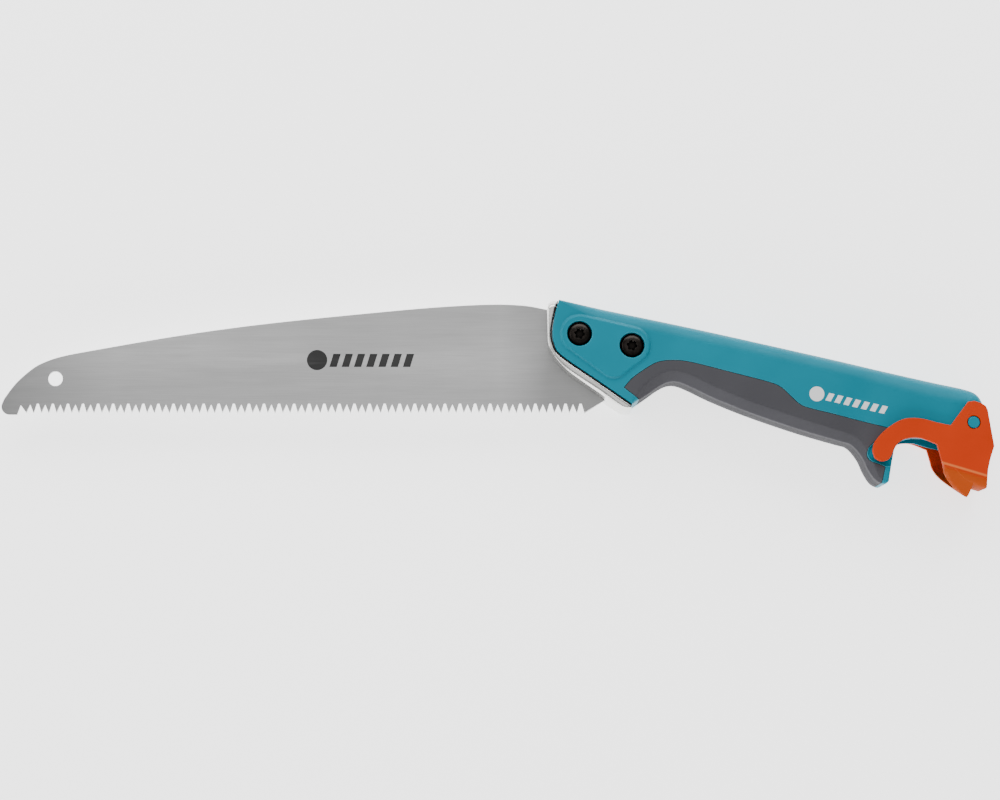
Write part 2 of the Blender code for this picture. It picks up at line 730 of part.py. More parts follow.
def make_shell_screw(label, u, v, seat, handle_axes, zinc):
    """Self-tapping screw, head in the right shell, point in the left shell's boss."""
    top = -(seat + GAP)
    head = top - SHELL_HEAD_HEIGHT
    profile = [(2.0, head), (SHELL_HEAD_RADIUS, head + 0.6), (SHELL_HEAD_RADIUS, top),
               (SHELL_SCREW_RADIUS, top), (SHELL_SCREW_RADIUS, SHELL_SCREW_END - 2.5),
               (0.4, SHELL_SCREW_END)]
    screw = place("shell_screw_" + label, turned(profile, (u, v), 14), handle_axes, zinc)
    for cross in ((1.8, 0.4), (0.4, 1.8)):
        slot = [(u + a * cross[0], v + b * cross[1]) for a, b in ((-1, -1), (1, -1), (1, 1), (-1, 1))]
        combine(screw, "DIFFERENCE", prism(slot, head - 1.0, head + 1.2))


def make_pole_stop(handle_axes, black):
    """Plate across the hollow with a round seat that the extension pole's end meets."""
    half = CAVITY_HALF - GAP
    corners = ((STOP_ROOF, 8.2, 1), (STOP_ROOF, 8.2, -1), (STOP_FLOOR, 3.2, -1), (STOP_FLOOR, 3.2, 1))
    section = []
    for quarter, (v, radius, side) in enumerate(corners):
        centre = (v - math.copysign(radius, v), side * (half - radius))
        section += circle(centre, radius, 5, 90.0 - 90.0 * quarter, -90.0)
    stop = place("pole_stop", across(section, *STOP_U), handle_axes, black)
    seat = circle((STOP_SEAT_V, 0.0), STOP_SEAT_RADIUS, 24)
    combine(stop, "UNION", across(seat, STOP_U[0] + 1.0, STOP_SEAT_U))


def along(table, value):
    """Linear interpolation in a table of (input, output) pairs."""
    return float(np.interp(value, *zip(*table)))


def web_point(u, depth, w):
    return (u, BEND_START[1] - BEND_SLOPE * (u - BEND_START[0]) - depth, w)


def web_block(section, front, rear, stand=0.0):
    """A convex piece of the web: its half section on both sides, between two end tables."""
    depths = {depth for table in (section, front, rear) for depth, _ in table}
    points = []
    for side in (-1, 1):
        for end in (front, rear):
            for depth in sorted(depths):
                w = min(along(section, depth) + stand, PAD_HALF)
                points.append(web_point(along(end, depth), depth, side * w))
    return points


def web_hollow(section, end_u):
    """The space inside the web, from in front of it to end_u."""
    rings = []
    for u in (BEND_START[0] - 20.0, end_u):
        half = [web_point(u, depth, w) for depth, w in section]
        rings.append(half + [(u, v, -w) for _, v, w in half[::-1]])
    return layered(rings)


def make_lever(lever_pivot, orange):
    """Two arms and side plates over the butt, joined below it by a folded web."""
    plate = lever_plate_outline()
    lever = place("pole_lever", prism(plate, LEVER_INNER, PAD_HALF), lever_pivot, orange, offset=PIVOT)
    combine(lever, "UNION", prism(plate, -PAD_HALF, -LEVER_INNER), offset=PIVOT)
    face_front = [(depth, u + PROW_RIM[0]) for depth, u in PROW_FRONT]
    inner_section = [(depth, max(w - PROW_RIM[1], 0.0)) for depth, w in PROW_SECTION]
    prow = web_block(PROW_SECTION, face_front, PROW_REAR)
    prow += web_block(inner_section, PROW_FRONT, PROW_REAR)
    combine(lever, "UNION", hull(prow), offset=PIVOT)
    trough = web_block(TROUGH_SECTION, TROUGH_FRONT, TROUGH_REAR, CREASE)
    combine(lever, "UNION", hull(trough), offset=PIVOT)
    combine(lever, "DIFFERENCE", web_hollow(TROUGH_HOLLOW, 240.0), offset=PIVOT)
    combine(lever, "DIFFERENCE", web_hollow(PROW_HOLLOW, PROW_HOLLOW_END), offset=PIVOT)
    pin_hole = prism(circle(PIVOT, PIVOT_HOLE_RADIUS, 24), -20.0, 20.0)
    combine(lever, "DIFFERENCE", pin_hole, offset=PIVOT)


def make_pivot_pin(name, handle_axes, teal, flip):
    """Stub pin through the lever's plate into the shell's wall."""
    profile = [(PIVOT_RADIUS - 0.5, SOCKET_HALF + 0.2), (PIVOT_RADIUS, SOCKET_HALF + 0.7),
               (PIVOT_RADIUS, PAD_HALF - 0.5), (PIVOT_RADIUS - 0.4, PAD_HALF - 0.1)]
    place(name, turned(profile, PIVOT, 20), handle_axes, teal, flip)


def main():
    clear_scene()
    steel = finish("blade_steel", (0.44, 0.44, 0.44), 0.38, 1.0)
    alloy = finish("bolster_alloy", (0.62, 0.62, 0.60), 0.22, 1.0)
    zinc = finish("zinc_steel", (0.45, 0.46, 0.48), 0.35, 1.0)
    black_steel = finish("black_steel", (0.03, 0.03, 0.03), 0.35, 0.8)
    teal = finish("teal_plastic", (0.016, 0.24, 0.31), 0.42)
    soft = finish("grey_elastomer", (0.075, 0.073, 0.085), 0.65)
    orange = finish("orange_plastic", (0.58, 0.062, 0.012), 0.4)
    black = finish("black_plastic", (0.012, 0.012, 0.014), 0.6)

    saw_axes = empty("saw_axes", location=(0.0, 0.0, PAD_HALF))
    handle_axes = empty("handle_axes", saw_axes, turn_deg=-HANDLE_TILT_DEG)
    lever_pivot = empty("lever_pivot", handle_axes, location=(*PIVOT, 0.0))

    make_blade(saw_axes, steel)
    make_bolster(handle_axes, saw_axes, alloy)
    make_gasket(handle_axes, black)
    make_shells(handle_axes, teal)
    make_pole_stop(handle_axes, black)
    for side, flip in (("left", False), ("right", True)):
        make_grip(side + "_grip", handle_axes, soft, flip)
        make_pivot_pin(side + "_pivot_pin", handle_axes, teal, flip)
    for end, u in (("front", -SCREW_U), ("rear", SCREW_U)):
        make_blade_screw(end + "_blade_screw", u, handle_axes, black_steel)
        make_sleeve_nut(end + "_sleeve_nut", u, handle_axes, black_steel)
        make_lock_washer(end + "_lock_washer", u, handle_axes, zinc)
    for label, u, v, seat in SHELL_SCREWS:
        make_shell_screw(label, u, v, seat, handle_axes, zinc)
    make_lever(lever_pivot, orange)
    bpy.context.view_layer.update()


main()
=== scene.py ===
"""Visual model of the pruning saw, built over the CAD frame.

Plan shapes are in millimetres: the blade in saw axes (x, y), everything on the handle in handle
axes (u, v), with u along the handle to the butt and v across it towards the spine. Heights w are
measured from the blade's middle plane, +w to the left side.
"""

import math

import bmesh
import bpy
import numpy as np
from mathutils import Matrix, Vector


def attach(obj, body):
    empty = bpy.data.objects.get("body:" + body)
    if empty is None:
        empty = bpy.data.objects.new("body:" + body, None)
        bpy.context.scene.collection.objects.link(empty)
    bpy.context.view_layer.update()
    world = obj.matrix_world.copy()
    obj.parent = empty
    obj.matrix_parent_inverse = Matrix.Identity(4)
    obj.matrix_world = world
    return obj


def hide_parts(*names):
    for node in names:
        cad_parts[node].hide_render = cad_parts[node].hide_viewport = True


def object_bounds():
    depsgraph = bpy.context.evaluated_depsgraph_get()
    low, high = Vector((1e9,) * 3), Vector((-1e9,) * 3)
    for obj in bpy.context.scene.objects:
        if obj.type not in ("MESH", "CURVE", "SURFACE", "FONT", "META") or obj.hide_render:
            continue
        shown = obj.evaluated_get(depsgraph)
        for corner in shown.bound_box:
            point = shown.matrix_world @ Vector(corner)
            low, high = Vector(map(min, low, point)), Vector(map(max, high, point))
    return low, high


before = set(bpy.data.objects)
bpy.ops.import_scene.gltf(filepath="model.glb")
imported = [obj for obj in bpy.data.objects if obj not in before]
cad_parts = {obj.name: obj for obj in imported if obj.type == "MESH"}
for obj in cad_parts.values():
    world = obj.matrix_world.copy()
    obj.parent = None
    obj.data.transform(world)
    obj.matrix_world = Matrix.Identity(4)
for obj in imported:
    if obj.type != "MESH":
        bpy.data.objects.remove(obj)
cad_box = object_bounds()

MM = 0.001

# Driving dimensions, in millimetres unless the name says otherwise
HANDLE_TILT_DEG = 12.7  # handle axis below the tooth line
PAD_HALF = 17.0         # blade plane to the flat pads, and to the lever's outer faces
FLANK_HALF = 15.75      # blade plane to the handle's flanks
BUTT_HALF = 13.9        # the same at the butt, where the lever straddles it
CAVITY_HALF = 12.2      # blade plane to the shells' inside faces
SOCKET_HALF = 11.6      # the same at the butt
TAPER = (122.0, 143.0)  # u range over which the flanks close in to the butt
GAP = 0.3               # clearance between neighbouring pieces
WALL = 2.4              # shell wall on the top and bottom edges
GRIP_SKIN = 1.8         # thickness of the soft grip
BLADE_THICKNESS = 1.2

TOOTH_PITCH = 3.994
TOOTH_DEPTH = 4.8
TOOTH_PAIRS = 37
TOOTH_LINE = -37.0      # y of the tooth tips
LAST_TOOTH_X = -10.8
WIDE_GULLET = 1.1       # width of the gullets between the pairs, and their extra depth
WIDE_GULLET_EXTRA = 0.3
HANG_HOLE = (-291.3, -18.6, 3.8)        # x, y, radius
HOLE_CHAMFER = 0.25

SCREW_U = 14.1          # blade screws at u = -SCREW_U and +SCREW_U
SCREW_V = 0.2
SCREW_RADIUS = 2.5
SLEEVE_RADIUS = 4.0     # the nut's sleeve, which the screw threads into
SLEEVE_END = 11.5       # heights of the sleeve's end, the screw's end and the sleeve's bore
SCREW_END = -12.4
BORE_END = -12.9
HEAD_RADIUS = 6.3
HEAD_SEAT = 13.9        # height of the counterbore's floor
HEAD_TOP = 16.7
HEAD_RIM = 0.5          # upright part of a head's edge
SOCKET_RADIUS = 2.35    # six-lobed driver socket, and how far its lobes swing from that
SOCKET_LOBE = 0.45
SCREW_SOCKET_DEPTH = 1.9
NUT_SOCKET_DEPTH = 1.2
WASHER_THICKNESS = 0.7
PAD_CORNERS = ((-14.1, 0.2, 10.0), (6.8, -10.8, 8.3), (14.1, 0.2, 9.7))     # u, v, radius

GASKET = 0.5            # black strip between the bolster and the shells
COLLAR_HALF = 15.3      # blade plane to the bolster's flanks
TANG_BLOCK_HALF = CAVITY_HALF - GAP

PIVOT = (197.0, -0.3)
PIVOT_RADIUS = 3.1
PIVOT_HOLE_RADIUS = 3.55
PIN_SUNK = 0.1          # the pin's end below the lever's outer face, and its rounded edge
PIN_ROUND = 0.45
LEVER_INNER = 14.2      # blade plane to the lever plates' inside faces
POCKET_DEPTH = 1.0
POCKET_LEDGE = 0.6      # shell left between the grip and the arm tip's pocket

SHELL_SCREWS = (        # name, u, v, height of the head's seat
    ("front", 36.0, 5.0, 10.5),
    ("middle", 84.0, 1.0, 10.5),
    ("rear", 152.6, -25.4, 8.6),
)
BOSS_RADIUS = 4.0
SHELL_SCREW_RADIUS = 1.6
SHELL_HEAD_RADIUS = 3.0
SHELL_SCREW_END = 9.5

STOP_U = (98.0, 101.0)  # the pole stop's plate inside the handle
RIB = 1.5               # thickness of the ribs on both sides of it
RIB_V = (-14.0, 8.0)

PAST = 1.0              # how far a cutting shape runs past what it cuts
THROUGH = 20.0          # half height of a cut right through the saw
IN_HOLLOW = 5.0         # a height inside the handle's hollow

# Shell front edge, top to bottom: (u, v, rounding of the flank's edge)
FRONT_EDGE = (
    (-28.6, 15.6, 0.8), (-28.9, 8.0, 0.8), (-28.4, -1.3, 0.8), (-26.1, -7.7, 0.8),
    (-20.7, -13.0, 0.8), (1.0, -21.9, 0.8), (20.9, -30.0, 0.8),
)
# Underside from the front guard to the foot of the pommel
UNDERSIDE = (
    (22.4, -28.3, 3.0), (27.5, -23.0, 6.0), (32.8, -17.2, 7.0), (37.0, -13.9, 7.0),
    (41.6, -12.7, 7.0), (48.3, -13.6, 7.0), (62.0, -16.8, 7.0), (82.4, -20.2, 7.0),
    (109.2, -23.2, 7.0), (131.0, -24.6, 6.5), (137.8, -25.3, 6.0), (144.4, -30.3, 5.0),
    (149.0, -36.3, 4.5), (153.8, -40.7, 3.0), (158.5, -41.8, 2.0), (160.4, -39.9, 1.5),
)
# Rear face of the pommel, then the arch of the channel up to the butt's mouth
CHANNEL = (
    (160.2, -35.8, 1.5), (159.8, -27.6, 1.4), (160.1, -21.6, 1.0), (163.9, -17.0, 1.0),
    (171.5, -14.5, 1.0), (180.0, -14.8, 1.0),
)
BUTT_MOUTH = ((201.5, -15.0, 1.0), (201.5, 6.0, 1.2))
# Top edge from the butt's mouth back to the bolster
TOP_EDGE = (
    (200.6, 10.6, 2.5), (196.7, 15.2, 5.5), (190.0, 17.1, 9.0), (170.0, 17.2, 10.5),
    (112.0, 17.2, 8.5), (47.0, 17.2, 8.0), (-6.6, 16.4, 7.5),
)
# Outer edge of the bolster's collar, from above the handle down to its lower end
COLLAR_EDGE = (
    (-32.8, 20.0, 1.8), (-33.4, 14.0, 1.8), (-33.5, 8.5, 1.8), (-31.4, 0.0, 1.1),
    (-29.3, -8.0, 1.1), (-26.9, -11.5, 1.2), (-22.6, -15.8, 1.5), (-14.0, -21.1, 2.1),
    (3.6, -28.2, 2.6), (14.0, -32.2, 1.6), (18.0, -33.0, 1.2), (21.2, -32.0, 0.8),
)
# Side view and edge rounding of the casting's top, which carries the handle's section forwards
COLLAR_TOP = (
    (-24.0, 15.9, 7.5), (-29.8, 15.7, 7.0), (-32.6, 14.2, 5.0), (-34.4, 11.0, 3.6),
    (-36.0, 4.0, 1.0),
)
# Upper edge of the soft grip, front to rear, then round the pommel's pocket
GRIP_EDGE = (
    (15.0, -22.4), (18.1, -16.7), (24.2, -9.9), (29.2, -5.6), (36.0, -3.1),
    (46.0, -1.8), (68.0, -2.4), (88.0, -3.1), (95.0, -4.4), (101.0, -7.9),
    (106.5, -11.0), (112.0, -11.9), (126.4, -12.2), (155.5, -12.8),
)
POCKET_RIM = (
    (153.5, -17.5), (149.4, -20.6), (146.8, -24.0), (146.0, -26.9), (146.6, -29.6),
    (149.3, -31.9), (153.6, -32.5), (156.8, -33.2),
)
# Lever's side plate: the arm's upper edge from the plate to the tip, then its lower edge
ARM_UPPER = (
    (185.6, -4.5), (178.0, -4.6), (171.6, -4.3), (165.6, -5.0), (160.0, -7.2),
    (154.6, -12.0), (150.6, -17.6), (148.5, -22.4), (148.4, -26.6),
)
ARM_LOWER = (
    (150.2, -29.8), (153.2, -30.9), (156.4, -30.0), (158.3, -27.6), (159.4, -22.3),
    (161.9, -18.1), (166.2, -15.6), (172.0, -14.5), (180.5, -15.8),
)
PLATE_EDGE = (
    (183.3, -21.0), (184.9, -24.3), (209.1, -25.2), (209.2, -17.2), (209.9, -10.2),
    (202.8, 7.8), (201.3, 9.6), (198.4, 10.6), (195.0, 10.8), (192.0, 9.7),
)
# Web between the side plates. Depths are measured from the bend line, which slopes rearwards.
BEND_START = (191.0, -25.1)
BEND_SLOPE = 0.068
WEB_SECTION = ((0.0, 17.0), (0.9, 16.8), (1.8, 16.2), (2.7, 15.1), (4.4, 12.4))     # depth, w
PROW_SECTION = (*WEB_SECTION, (10.0, 3.4), (11.6, 0.8))
TROUGH_SECTION = (*WEB_SECTION, (5.4, 10.0), (6.1, 6.5), (6.35, 2.5))
HOLLOW_SECTION = ((-17.0, 14.2), (-0.4, 14.2), (1.2, 13.0), (2.7, 11.0))
PROW_HOLLOW = (*HOLLOW_SECTION, (8.8, 1.2))
TROUGH_HOLLOW = (*HOLLOW_SECTION, (3.6, 9.4), (4.1, 7.0))
# u of the web's ends at some depths
PROW_FRONT = (
    (-3.0, 184.0), (0.0, 185.3), (3.1, 187.3), (5.0, 189.2), (7.0, 192.2),
    (8.7, 195.4), (10.2, 198.8), (11.6, 202.4),
)
PROW_REAR = ((0.0, 204.0), (10.5, 204.2), (11.6, 203.2))
TROUGH_FRONT = ((-3.0, 187.0), (0.0, 190.3), (2.45, 194.6), (4.0, 198.3), (6.35, 204.2))
TROUGH_REAR = ((-3.0, 209.1), (0.0, 209.2), (1.9, 209.7), (4.6, 211.0), (5.5, 211.2), (6.35, 210.1))
PROW_HOLLOW_END = 202.2
TROUGH_HOLLOW_END = 240.0  # past the lever, which leaves the trough open at the rear
PROW_RIM = (1.5, 1.7)   # bevel along the prow's front edge: along u, and in w
RIM_GROWTH = 4.0        # depth over which that bevel grows to its full size
CREASE = 0.35           # how far the trough stands over the prow at the crease between them

# The blade's rounded nose, the tip and gullet of its first tooth, and its spine
NOSE = (-315.2, -33.4)
NOSE_RADIUS = 4.4
FIRST_TOOTH = ((-311.2, -37.8), (-309.4, -32.6))
BLADE_SPINE = (
    (-319.2, -31.6), (-317.5, -28.2), (-311.6, -20.4), (-303.5, -13.2), (-297.2, -9.7),
    (-288.7, -6.8), (-272.8, -3.6), (-225.0, 4.7), (-177.4, 11.2), (-113.8, 17.7),
    (-82.0, 20.3), (-58.0, 21.3), (-42.0, 20.6), (-30.6, 18.5),
)
# The tang inside the handle, from the spine down to the heel of the tooth line
TANG_EDGE = ((-18.0, 14.0), (20.0, 4.5), (22.5, -9.0), (9.0, -18.0), (1.6, -29.1))

# Extra detail of the visual model
FINE = 6                # points for each stretch between knots
SPINE_CHAMFER = 0.2
NOSE_CHAMFER = 0.1
FILED_TIP = 0.5         # how far filing shortens a tooth on its filed side
PAD_RIM = (             # the screw pad's rounded rim: height, distance in from its outline
    (14.0, -0.55), (15.7, -0.55), (15.9, -0.2), (16.3, 0.2), (16.7, 0.5),
    (16.9, 0.8), (17.0, 1.3),
)
SEAM = 0.03             # how far each half stops short of the seam between them
PLATE_ROUND = 0.5       # edges of the lever's side plates
GRIP_FACET = (          # how far in and down from the flank's edge, in edge radii
    (0.0, 0.84), (0.02, 0.76), (0.06, 0.69), (0.66, 0.08), (0.71, 0.04),
    (0.78, 0.01), (0.88, 0.0),
)

# Printed marks: a dot's centre and radius, and some bars' first edge, middle, height and pitch
BLADE_MARK = ((-152.6, -8.6), 5.4, (-145.0, -8.8, 7.0, 6.5))
HANDLE_MARK = ((114.0, -3.6), 3.9, (119.6, -3.8, 4.2, 4.8))
BAR_COUNT = 7
BAR_SHARE = 0.6         # width of a bar, in pitches
BAR_LEAN = 0.3

TEAL = (0.001, 0.205, 0.285)
GREY = (0.07, 0.069, 0.077)
ORANGE = (0.56, 0.042, 0.007)
# Painted shade below the lever's bend, and a painted highlight along the bend
SHADED_FOLD_ORANGE = (0.34, 0.046, 0.0015)
BEND_HIGHLIGHT_ORANGE = (0.8, 0.22, 0.06)
MARK_WHITE = (0.82, 0.83, 0.84)
BLACK = (0.008, 0.008, 0.009)
ARM_ROOT = 178.0        # where the lever's arms end and its side plates begin

FLOOR_HALF = 4.0        # metres, as is its drop below the saw
FLOOR_DROP = 0.0002
FLOOR_GLOW = 2.0
SURROUND = 0.35         # strength of the even light from all round
LIT_POINT = (-0.055, -0.02, 0.017)      # what the lights aim at, in metres
LIGHTS = (              # name, position in metres, size in metres, watts
    ("top_softbox", (0.0, 1.3, 0.9), (2.2, 0.9), 32.0),
    ("front_softbox", (-0.1, -1.3, 0.45), (2.0, 0.6), 17.0),
    ("left_softbox", (-1.4, 0.1, 0.7), (1.0, 1.0), 9.0),
    ("overhead", (-0.1, 0.2, 1.9), (1.6, 1.2), 4.0),
)
CAMERA_FOOT = (-55.5, -183.6)
CAMERA_AIM = (-55.5, -29.9, 17.0)
CAMERA_HEIGHT = 1.27    # above its aim, in metres
VIEW_WIDTH = 0.53       # width of the picture at the saw, in metres

SAW_AXES = Matrix.Translation((0.0, 0.0, PAD_HALF * MM))
HANDLE_AXES = SAW_AXES @ Matrix.Rotation(math.radians(-HANDLE_TILT_DEG), 4, "Z")


def smooth(knots, steps):
    """A Catmull-Rom curve through the knots, which may have any number of coordinates."""
    points = [Vector(k) for k in knots]
    ends = [2 * points[0] - points[1], *points, 2 * points[-1] - points[-2]]
    curve = []
    for i in range(1, len(ends) - 2):
        a, b, c, d = ends[i - 1:i + 3]
        for s in range(steps):
            t = s / steps
            curve.append(0.5 * (2 * b + (c - a) * t + (2 * a - 5 * b + 4 * c - d) * t ** 2
                                + (3 * b - a - 3 * c + d) * t ** 3))
    curve.append(points[-1])
    return [tuple(p) for p in curve]


def circle(centre, radius, count, start_deg=0.0, sweep_deg=360.0):
    """Points on a circle or, with a smaller sweep, on an arc that includes both its ends."""
    spans = count if sweep_deg == 360.0 else count - 1
    angles = [math.radians(start_deg + sweep_deg * i / spans) for i in range(count)]
    return [(centre[0] + radius * math.cos(a), centre[1] + radius * math.sin(a)) for a in angles]


def inset(outline, distances, closed=True):
    """The outline moved to its left (inwards when counter-clockwise) by each point's distance."""
    moved = []
    last = len(outline) - 1
    for i, (point, distance) in enumerate(zip(outline, distances)):
        here = Vector(point[:2])
        before = Vector(outline[i - 1][:2])
        after = Vector(outline[(i + 1) % len(outline)][:2])
        arrive = (here - before).normalized() if closed or i > 0 else (after - here).normalized()
        leave = (after - here).normalized() if closed or i < last else arrive
        normal = Vector((-arrive.y - leave.y, arrive.x + leave.x)).normalized()
        stretch = max(normal.dot(Vector((-arrive.y, arrive.x))), 0.6)
        moved.append(tuple(here + normal * distance / stretch))
    return moved


def convex_outline(circles):
    """The outline of a band stretched round some circles, counter-clockwise."""
    points = sorted({p for u, v, r in circles for p in circle((u, v), r, 64)})
    halves = []
    for ordered in (points, points[::-1]):
        half = []
        for p in ordered:
            while len(half) > 1 and turn(half[-2], half[-1], p) <= 0:
                half.pop()
            half.append(p)
        halves.append(half[:-1])
    return halves[0] + halves[1]


def turn(a, b, c):
    """Positive where the path a, b, c turns left."""
    return (b[0] - a[0]) * (c[1] - b[1]) - (b[1] - a[1]) * (c[0] - b[0])


def layered(rings):
    """A closed mesh through rings of (x, y, z) points, lowest first, with the end rings capped."""
    mesh = bmesh.new()
    layers = [[mesh.verts.new(Vector(p) * MM) for p in ring] for ring in rings]
    count = len(layers[0])
    for low, high in zip(layers, layers[1:]):
        for i in range(count):
            j = (i + 1) % count
            mesh.faces.new((low[i], low[j], high[j], high[i]))
    mesh.faces.new(layers[0][::-1])
    mesh.faces.new(layers[-1])
    return mesh


def prism(outline, low, high):
    """A counter-clockwise outline extruded in w."""
    return layered([[(*p[:2], z) for p in outline] for z in (low, high)])


def turned(profile, centre, count=32):
    """A solid of revolution about w, from a profile of (radius, height), lowest first."""
    return layered([[(*p, z) for p in circle(centre, r, count)] for r, z in profile])


def hull(points):
    """The convex solid round some (u, v, w) points."""
    mesh = bmesh.new()
    for p in points:
        mesh.verts.new(Vector(p) * MM)
    bmesh.ops.convex_hull(mesh, input=mesh.verts)
    bmesh.ops.dissolve_limit(mesh, angle_limit=0.01, verts=mesh.verts, edges=mesh.edges)
    return mesh


def closing(u):
    """0 along the grip, 1 at the butt, with a smooth change over TAPER."""
    t = min(max((u - TAPER[0]) / (TAPER[1] - TAPER[0]), 0.0), 1.0)
    return t * t * (3 - 2 * t)


def edge_rings(outline, half_width, depth, steps):
    """Rings up one side of a body, from the foot of its rounded edge to its flank."""
    path = inset(outline, [depth] * len(outline))
    radii = [max(p[2] - depth, 0.2) for p in outline]
    rings = []
    for step in range(steps + 1):
        angle = math.radians(90.0 * step / steps)
        ring = inset(path, [r * (1 - math.cos(angle)) for r in radii])
        heights = [half_width - r * (1 - math.sin(angle)) for r in radii]
        rings.append([(*p, h) for p, h in zip(ring, heights)])
    return rings


def pillow(outline, half_width, base=None, depth=0.0, steps=10):
    """A body with rounded edges: both sides of the blade plane, or with a base one side only.

    Each outline point brings its own edge rounding. depth makes a copy that lies inside the
    original by that much on the edges, for cavities and for the layer under the grip.
    """
    rings = edge_rings(outline, half_width, depth, steps)
    if base is None:
        rings = [[(u, v, -w) for u, v, w in ring] for ring in rings[::-1]] + rings
    else:
        rings = [[(u, v, base) for u, v, _ in rings[0]]] + rings
    return layered(rings)


def taper_to_butt(mesh, half_width, butt_half, base):
    """Closes the flank of a one-sided pillow in towards the butt."""
    for cut in range(11):
        station = TAPER[0] + cut / 10 * (TAPER[1] - TAPER[0])
        parts = [*mesh.verts, *mesh.edges, *mesh.faces]
        bmesh.ops.bisect_plane(mesh, geom=parts, dist=1e-7, plane_co=(station * MM, 0, 0),
                               plane_no=(1, 0, 0))
    for vert in mesh.verts:
        if vert.co.z > base * MM:
            vert.co.z *= 1 - closing(vert.co.x / MM) * (1 - butt_half / half_width)
    return mesh


def handle_half(outline, half_width, butt_half, base, depth=0.0, steps=10):
    """One side of a handle body, with its flank closed in at the butt."""
    body = pillow(outline, half_width, base, depth, steps)
    return taper_to_butt(body, half_width, butt_half, base)


def along(table, value):
    """Linear interpolation in a table of (input, output) pairs."""
    return float(np.interp(value, *zip(*table)))


def handle_outline():
    """The handle's whole side view, counter-clockwise from the top of its front edge."""
    return (smooth(FRONT_EDGE, FINE) + smooth(UNDERSIDE, FINE) + smooth(CHANNEL, FINE)
            + list(BUTT_MOUTH) + smooth(TOP_EDGE, FINE))


def front_curve(forward):
    """The shells' front edge moved forwards, top to bottom."""
    curve = smooth([k[:2] for k in FRONT_EDGE], FINE)
    return inset(curve, [-forward] * len(curve), closed=False)


def cavity_outline():
    """The handle's hollow: open past the front edge, the channel and the butt's mouth."""
    front_roof = TOP_EDGE[-1][1] - WALL
    roof = TOP_EDGE[3][1] - WALL
    rear_wall = CHANNEL[1][0] - WALL
    front = [(-33.5, front_roof, 7.5)]
    front += [(u, v, 1.0) for u, v in front_curve(4.0)[:-1] if v < 5.0]
    wall = WALL + GRIP_SKIN
    lower = smooth(UNDERSIDE[1:], FINE)
    moved = inset(lower, [wall] * len(lower), closed=False)
    under = [(17.3, -26.6, 1.0)]
    under += [(*p, k[2] - wall + 0.4) for p, k in zip(moved, lower) if p[0] < 154.0]
    pommel = [(rear_wall, -35.0, 1.0), (rear_wall, -20.4, 1.0)]
    channel = [(165.0, -20.4, 1.0), (168.0, -32.0, 1.0), (215.0, -32.0, 1.0)]
    top = [(215.0, roof, 9.0), (170.0, roof, 9.0), (112.0, roof, 8.5), (47.0, roof, 8.0)]
    return front + under + pommel + channel + top + [(-6.6, front_roof, 7.5)]


def grip_zone(margin):
    """The side view of the soft grip, running out below the handle."""
    rear = POCKET_RIM[-1][0]
    outline = [(25.6, -27.3), (27.0, -50.0), (rear, -50.0)]
    outline += smooth(POCKET_RIM, FINE)[::-1]
    outline += smooth(GRIP_EDGE, FINE)[::-1]
    return inset(outline, [-margin] * len(outline))


def pocket_outline():
    """The arm tip's pocket: the rim in front and below, open to the channel behind it."""
    rim = smooth(POCKET_RIM, FINE)
    moved = inset(rim, [POCKET_LEDGE] * len(rim), closed=False)
    return moved + [(163.0, -31.5), (164.0, -19.0), (158.0, -14.5)]


def lever_plate_outline():
    """The side view of one of the lever's arms with its plate."""
    return smooth(ARM_UPPER, FINE) + smooth(ARM_LOWER, FINE) + list(PLATE_EDGE)


def tang_outline(margin):
    """The blade's rear part without teeth, for the slot it sits in."""
    outline = [(-60.0, 21.3), (-60.0, TOOTH_LINE), (-8.0, TOOTH_LINE)]
    outline += [*TANG_EDGE[::-1], *BLADE_SPINE[::-1][:2]]
    return inset(outline, [-margin] * len(outline))


def collar_outline():
    """The bolster's collar: its own outer edge, and the shells' front edge less the gasket."""
    rear = front_curve(GASKET + 2 * GAP)[::-1]
    top = (rear[-1][0], COLLAR_EDGE[0][1])
    return smooth(COLLAR_EDGE, FINE) + [(*p, 0.2) for p in [*rear, top]]


def casting_envelope():
    """The handle's section carried forwards, which gives the collar and gasket their top."""
    low = -40.0
    rear = 40.0
    top_corner = (rear, *COLLAR_TOP[0][1:])
    return [(-40.0, low, 1.0), (rear, low, 1.0), top_corner, *smooth(COLLAR_TOP, FINE)]


def tang_block_outline():
    """The casting's block between the shells, reaching forwards into the collar."""
    roof = TOP_EDGE[-1][1] - WALL - GAP
    front = front_curve(GASKET + 2 * GAP + 1.2)
    outline = [(front[0][0], roof, 7.2)]
    outline += [(u, v, 0.6) for u, v in front if v < 5.0 and u < 11.0]
    return outline + [(12.5, -26.0, 0.6), (26.5, -15.0, 0.6), (26.5, roof, 7.2)]


def place(name, mesh, axes, flip=False):
    """Makes an object from a mesh drawn in the given axes, mirrored to the right side if asked."""
    if flip:
        bmesh.ops.transform(mesh, matrix=Matrix.Scale(-1, 4, (0, 0, 1)), verts=mesh.verts)
    bmesh.ops.transform(mesh, matrix=axes, verts=mesh.verts)
    bmesh.ops.recalc_face_normals(mesh, faces=mesh.faces)
    data = bpy.data.meshes.new(name)
    mesh.to_mesh(data)
    mesh.free()
    item = bpy.data.objects.new(name, data)
    bpy.context.scene.collection.objects.link(item)
    return item


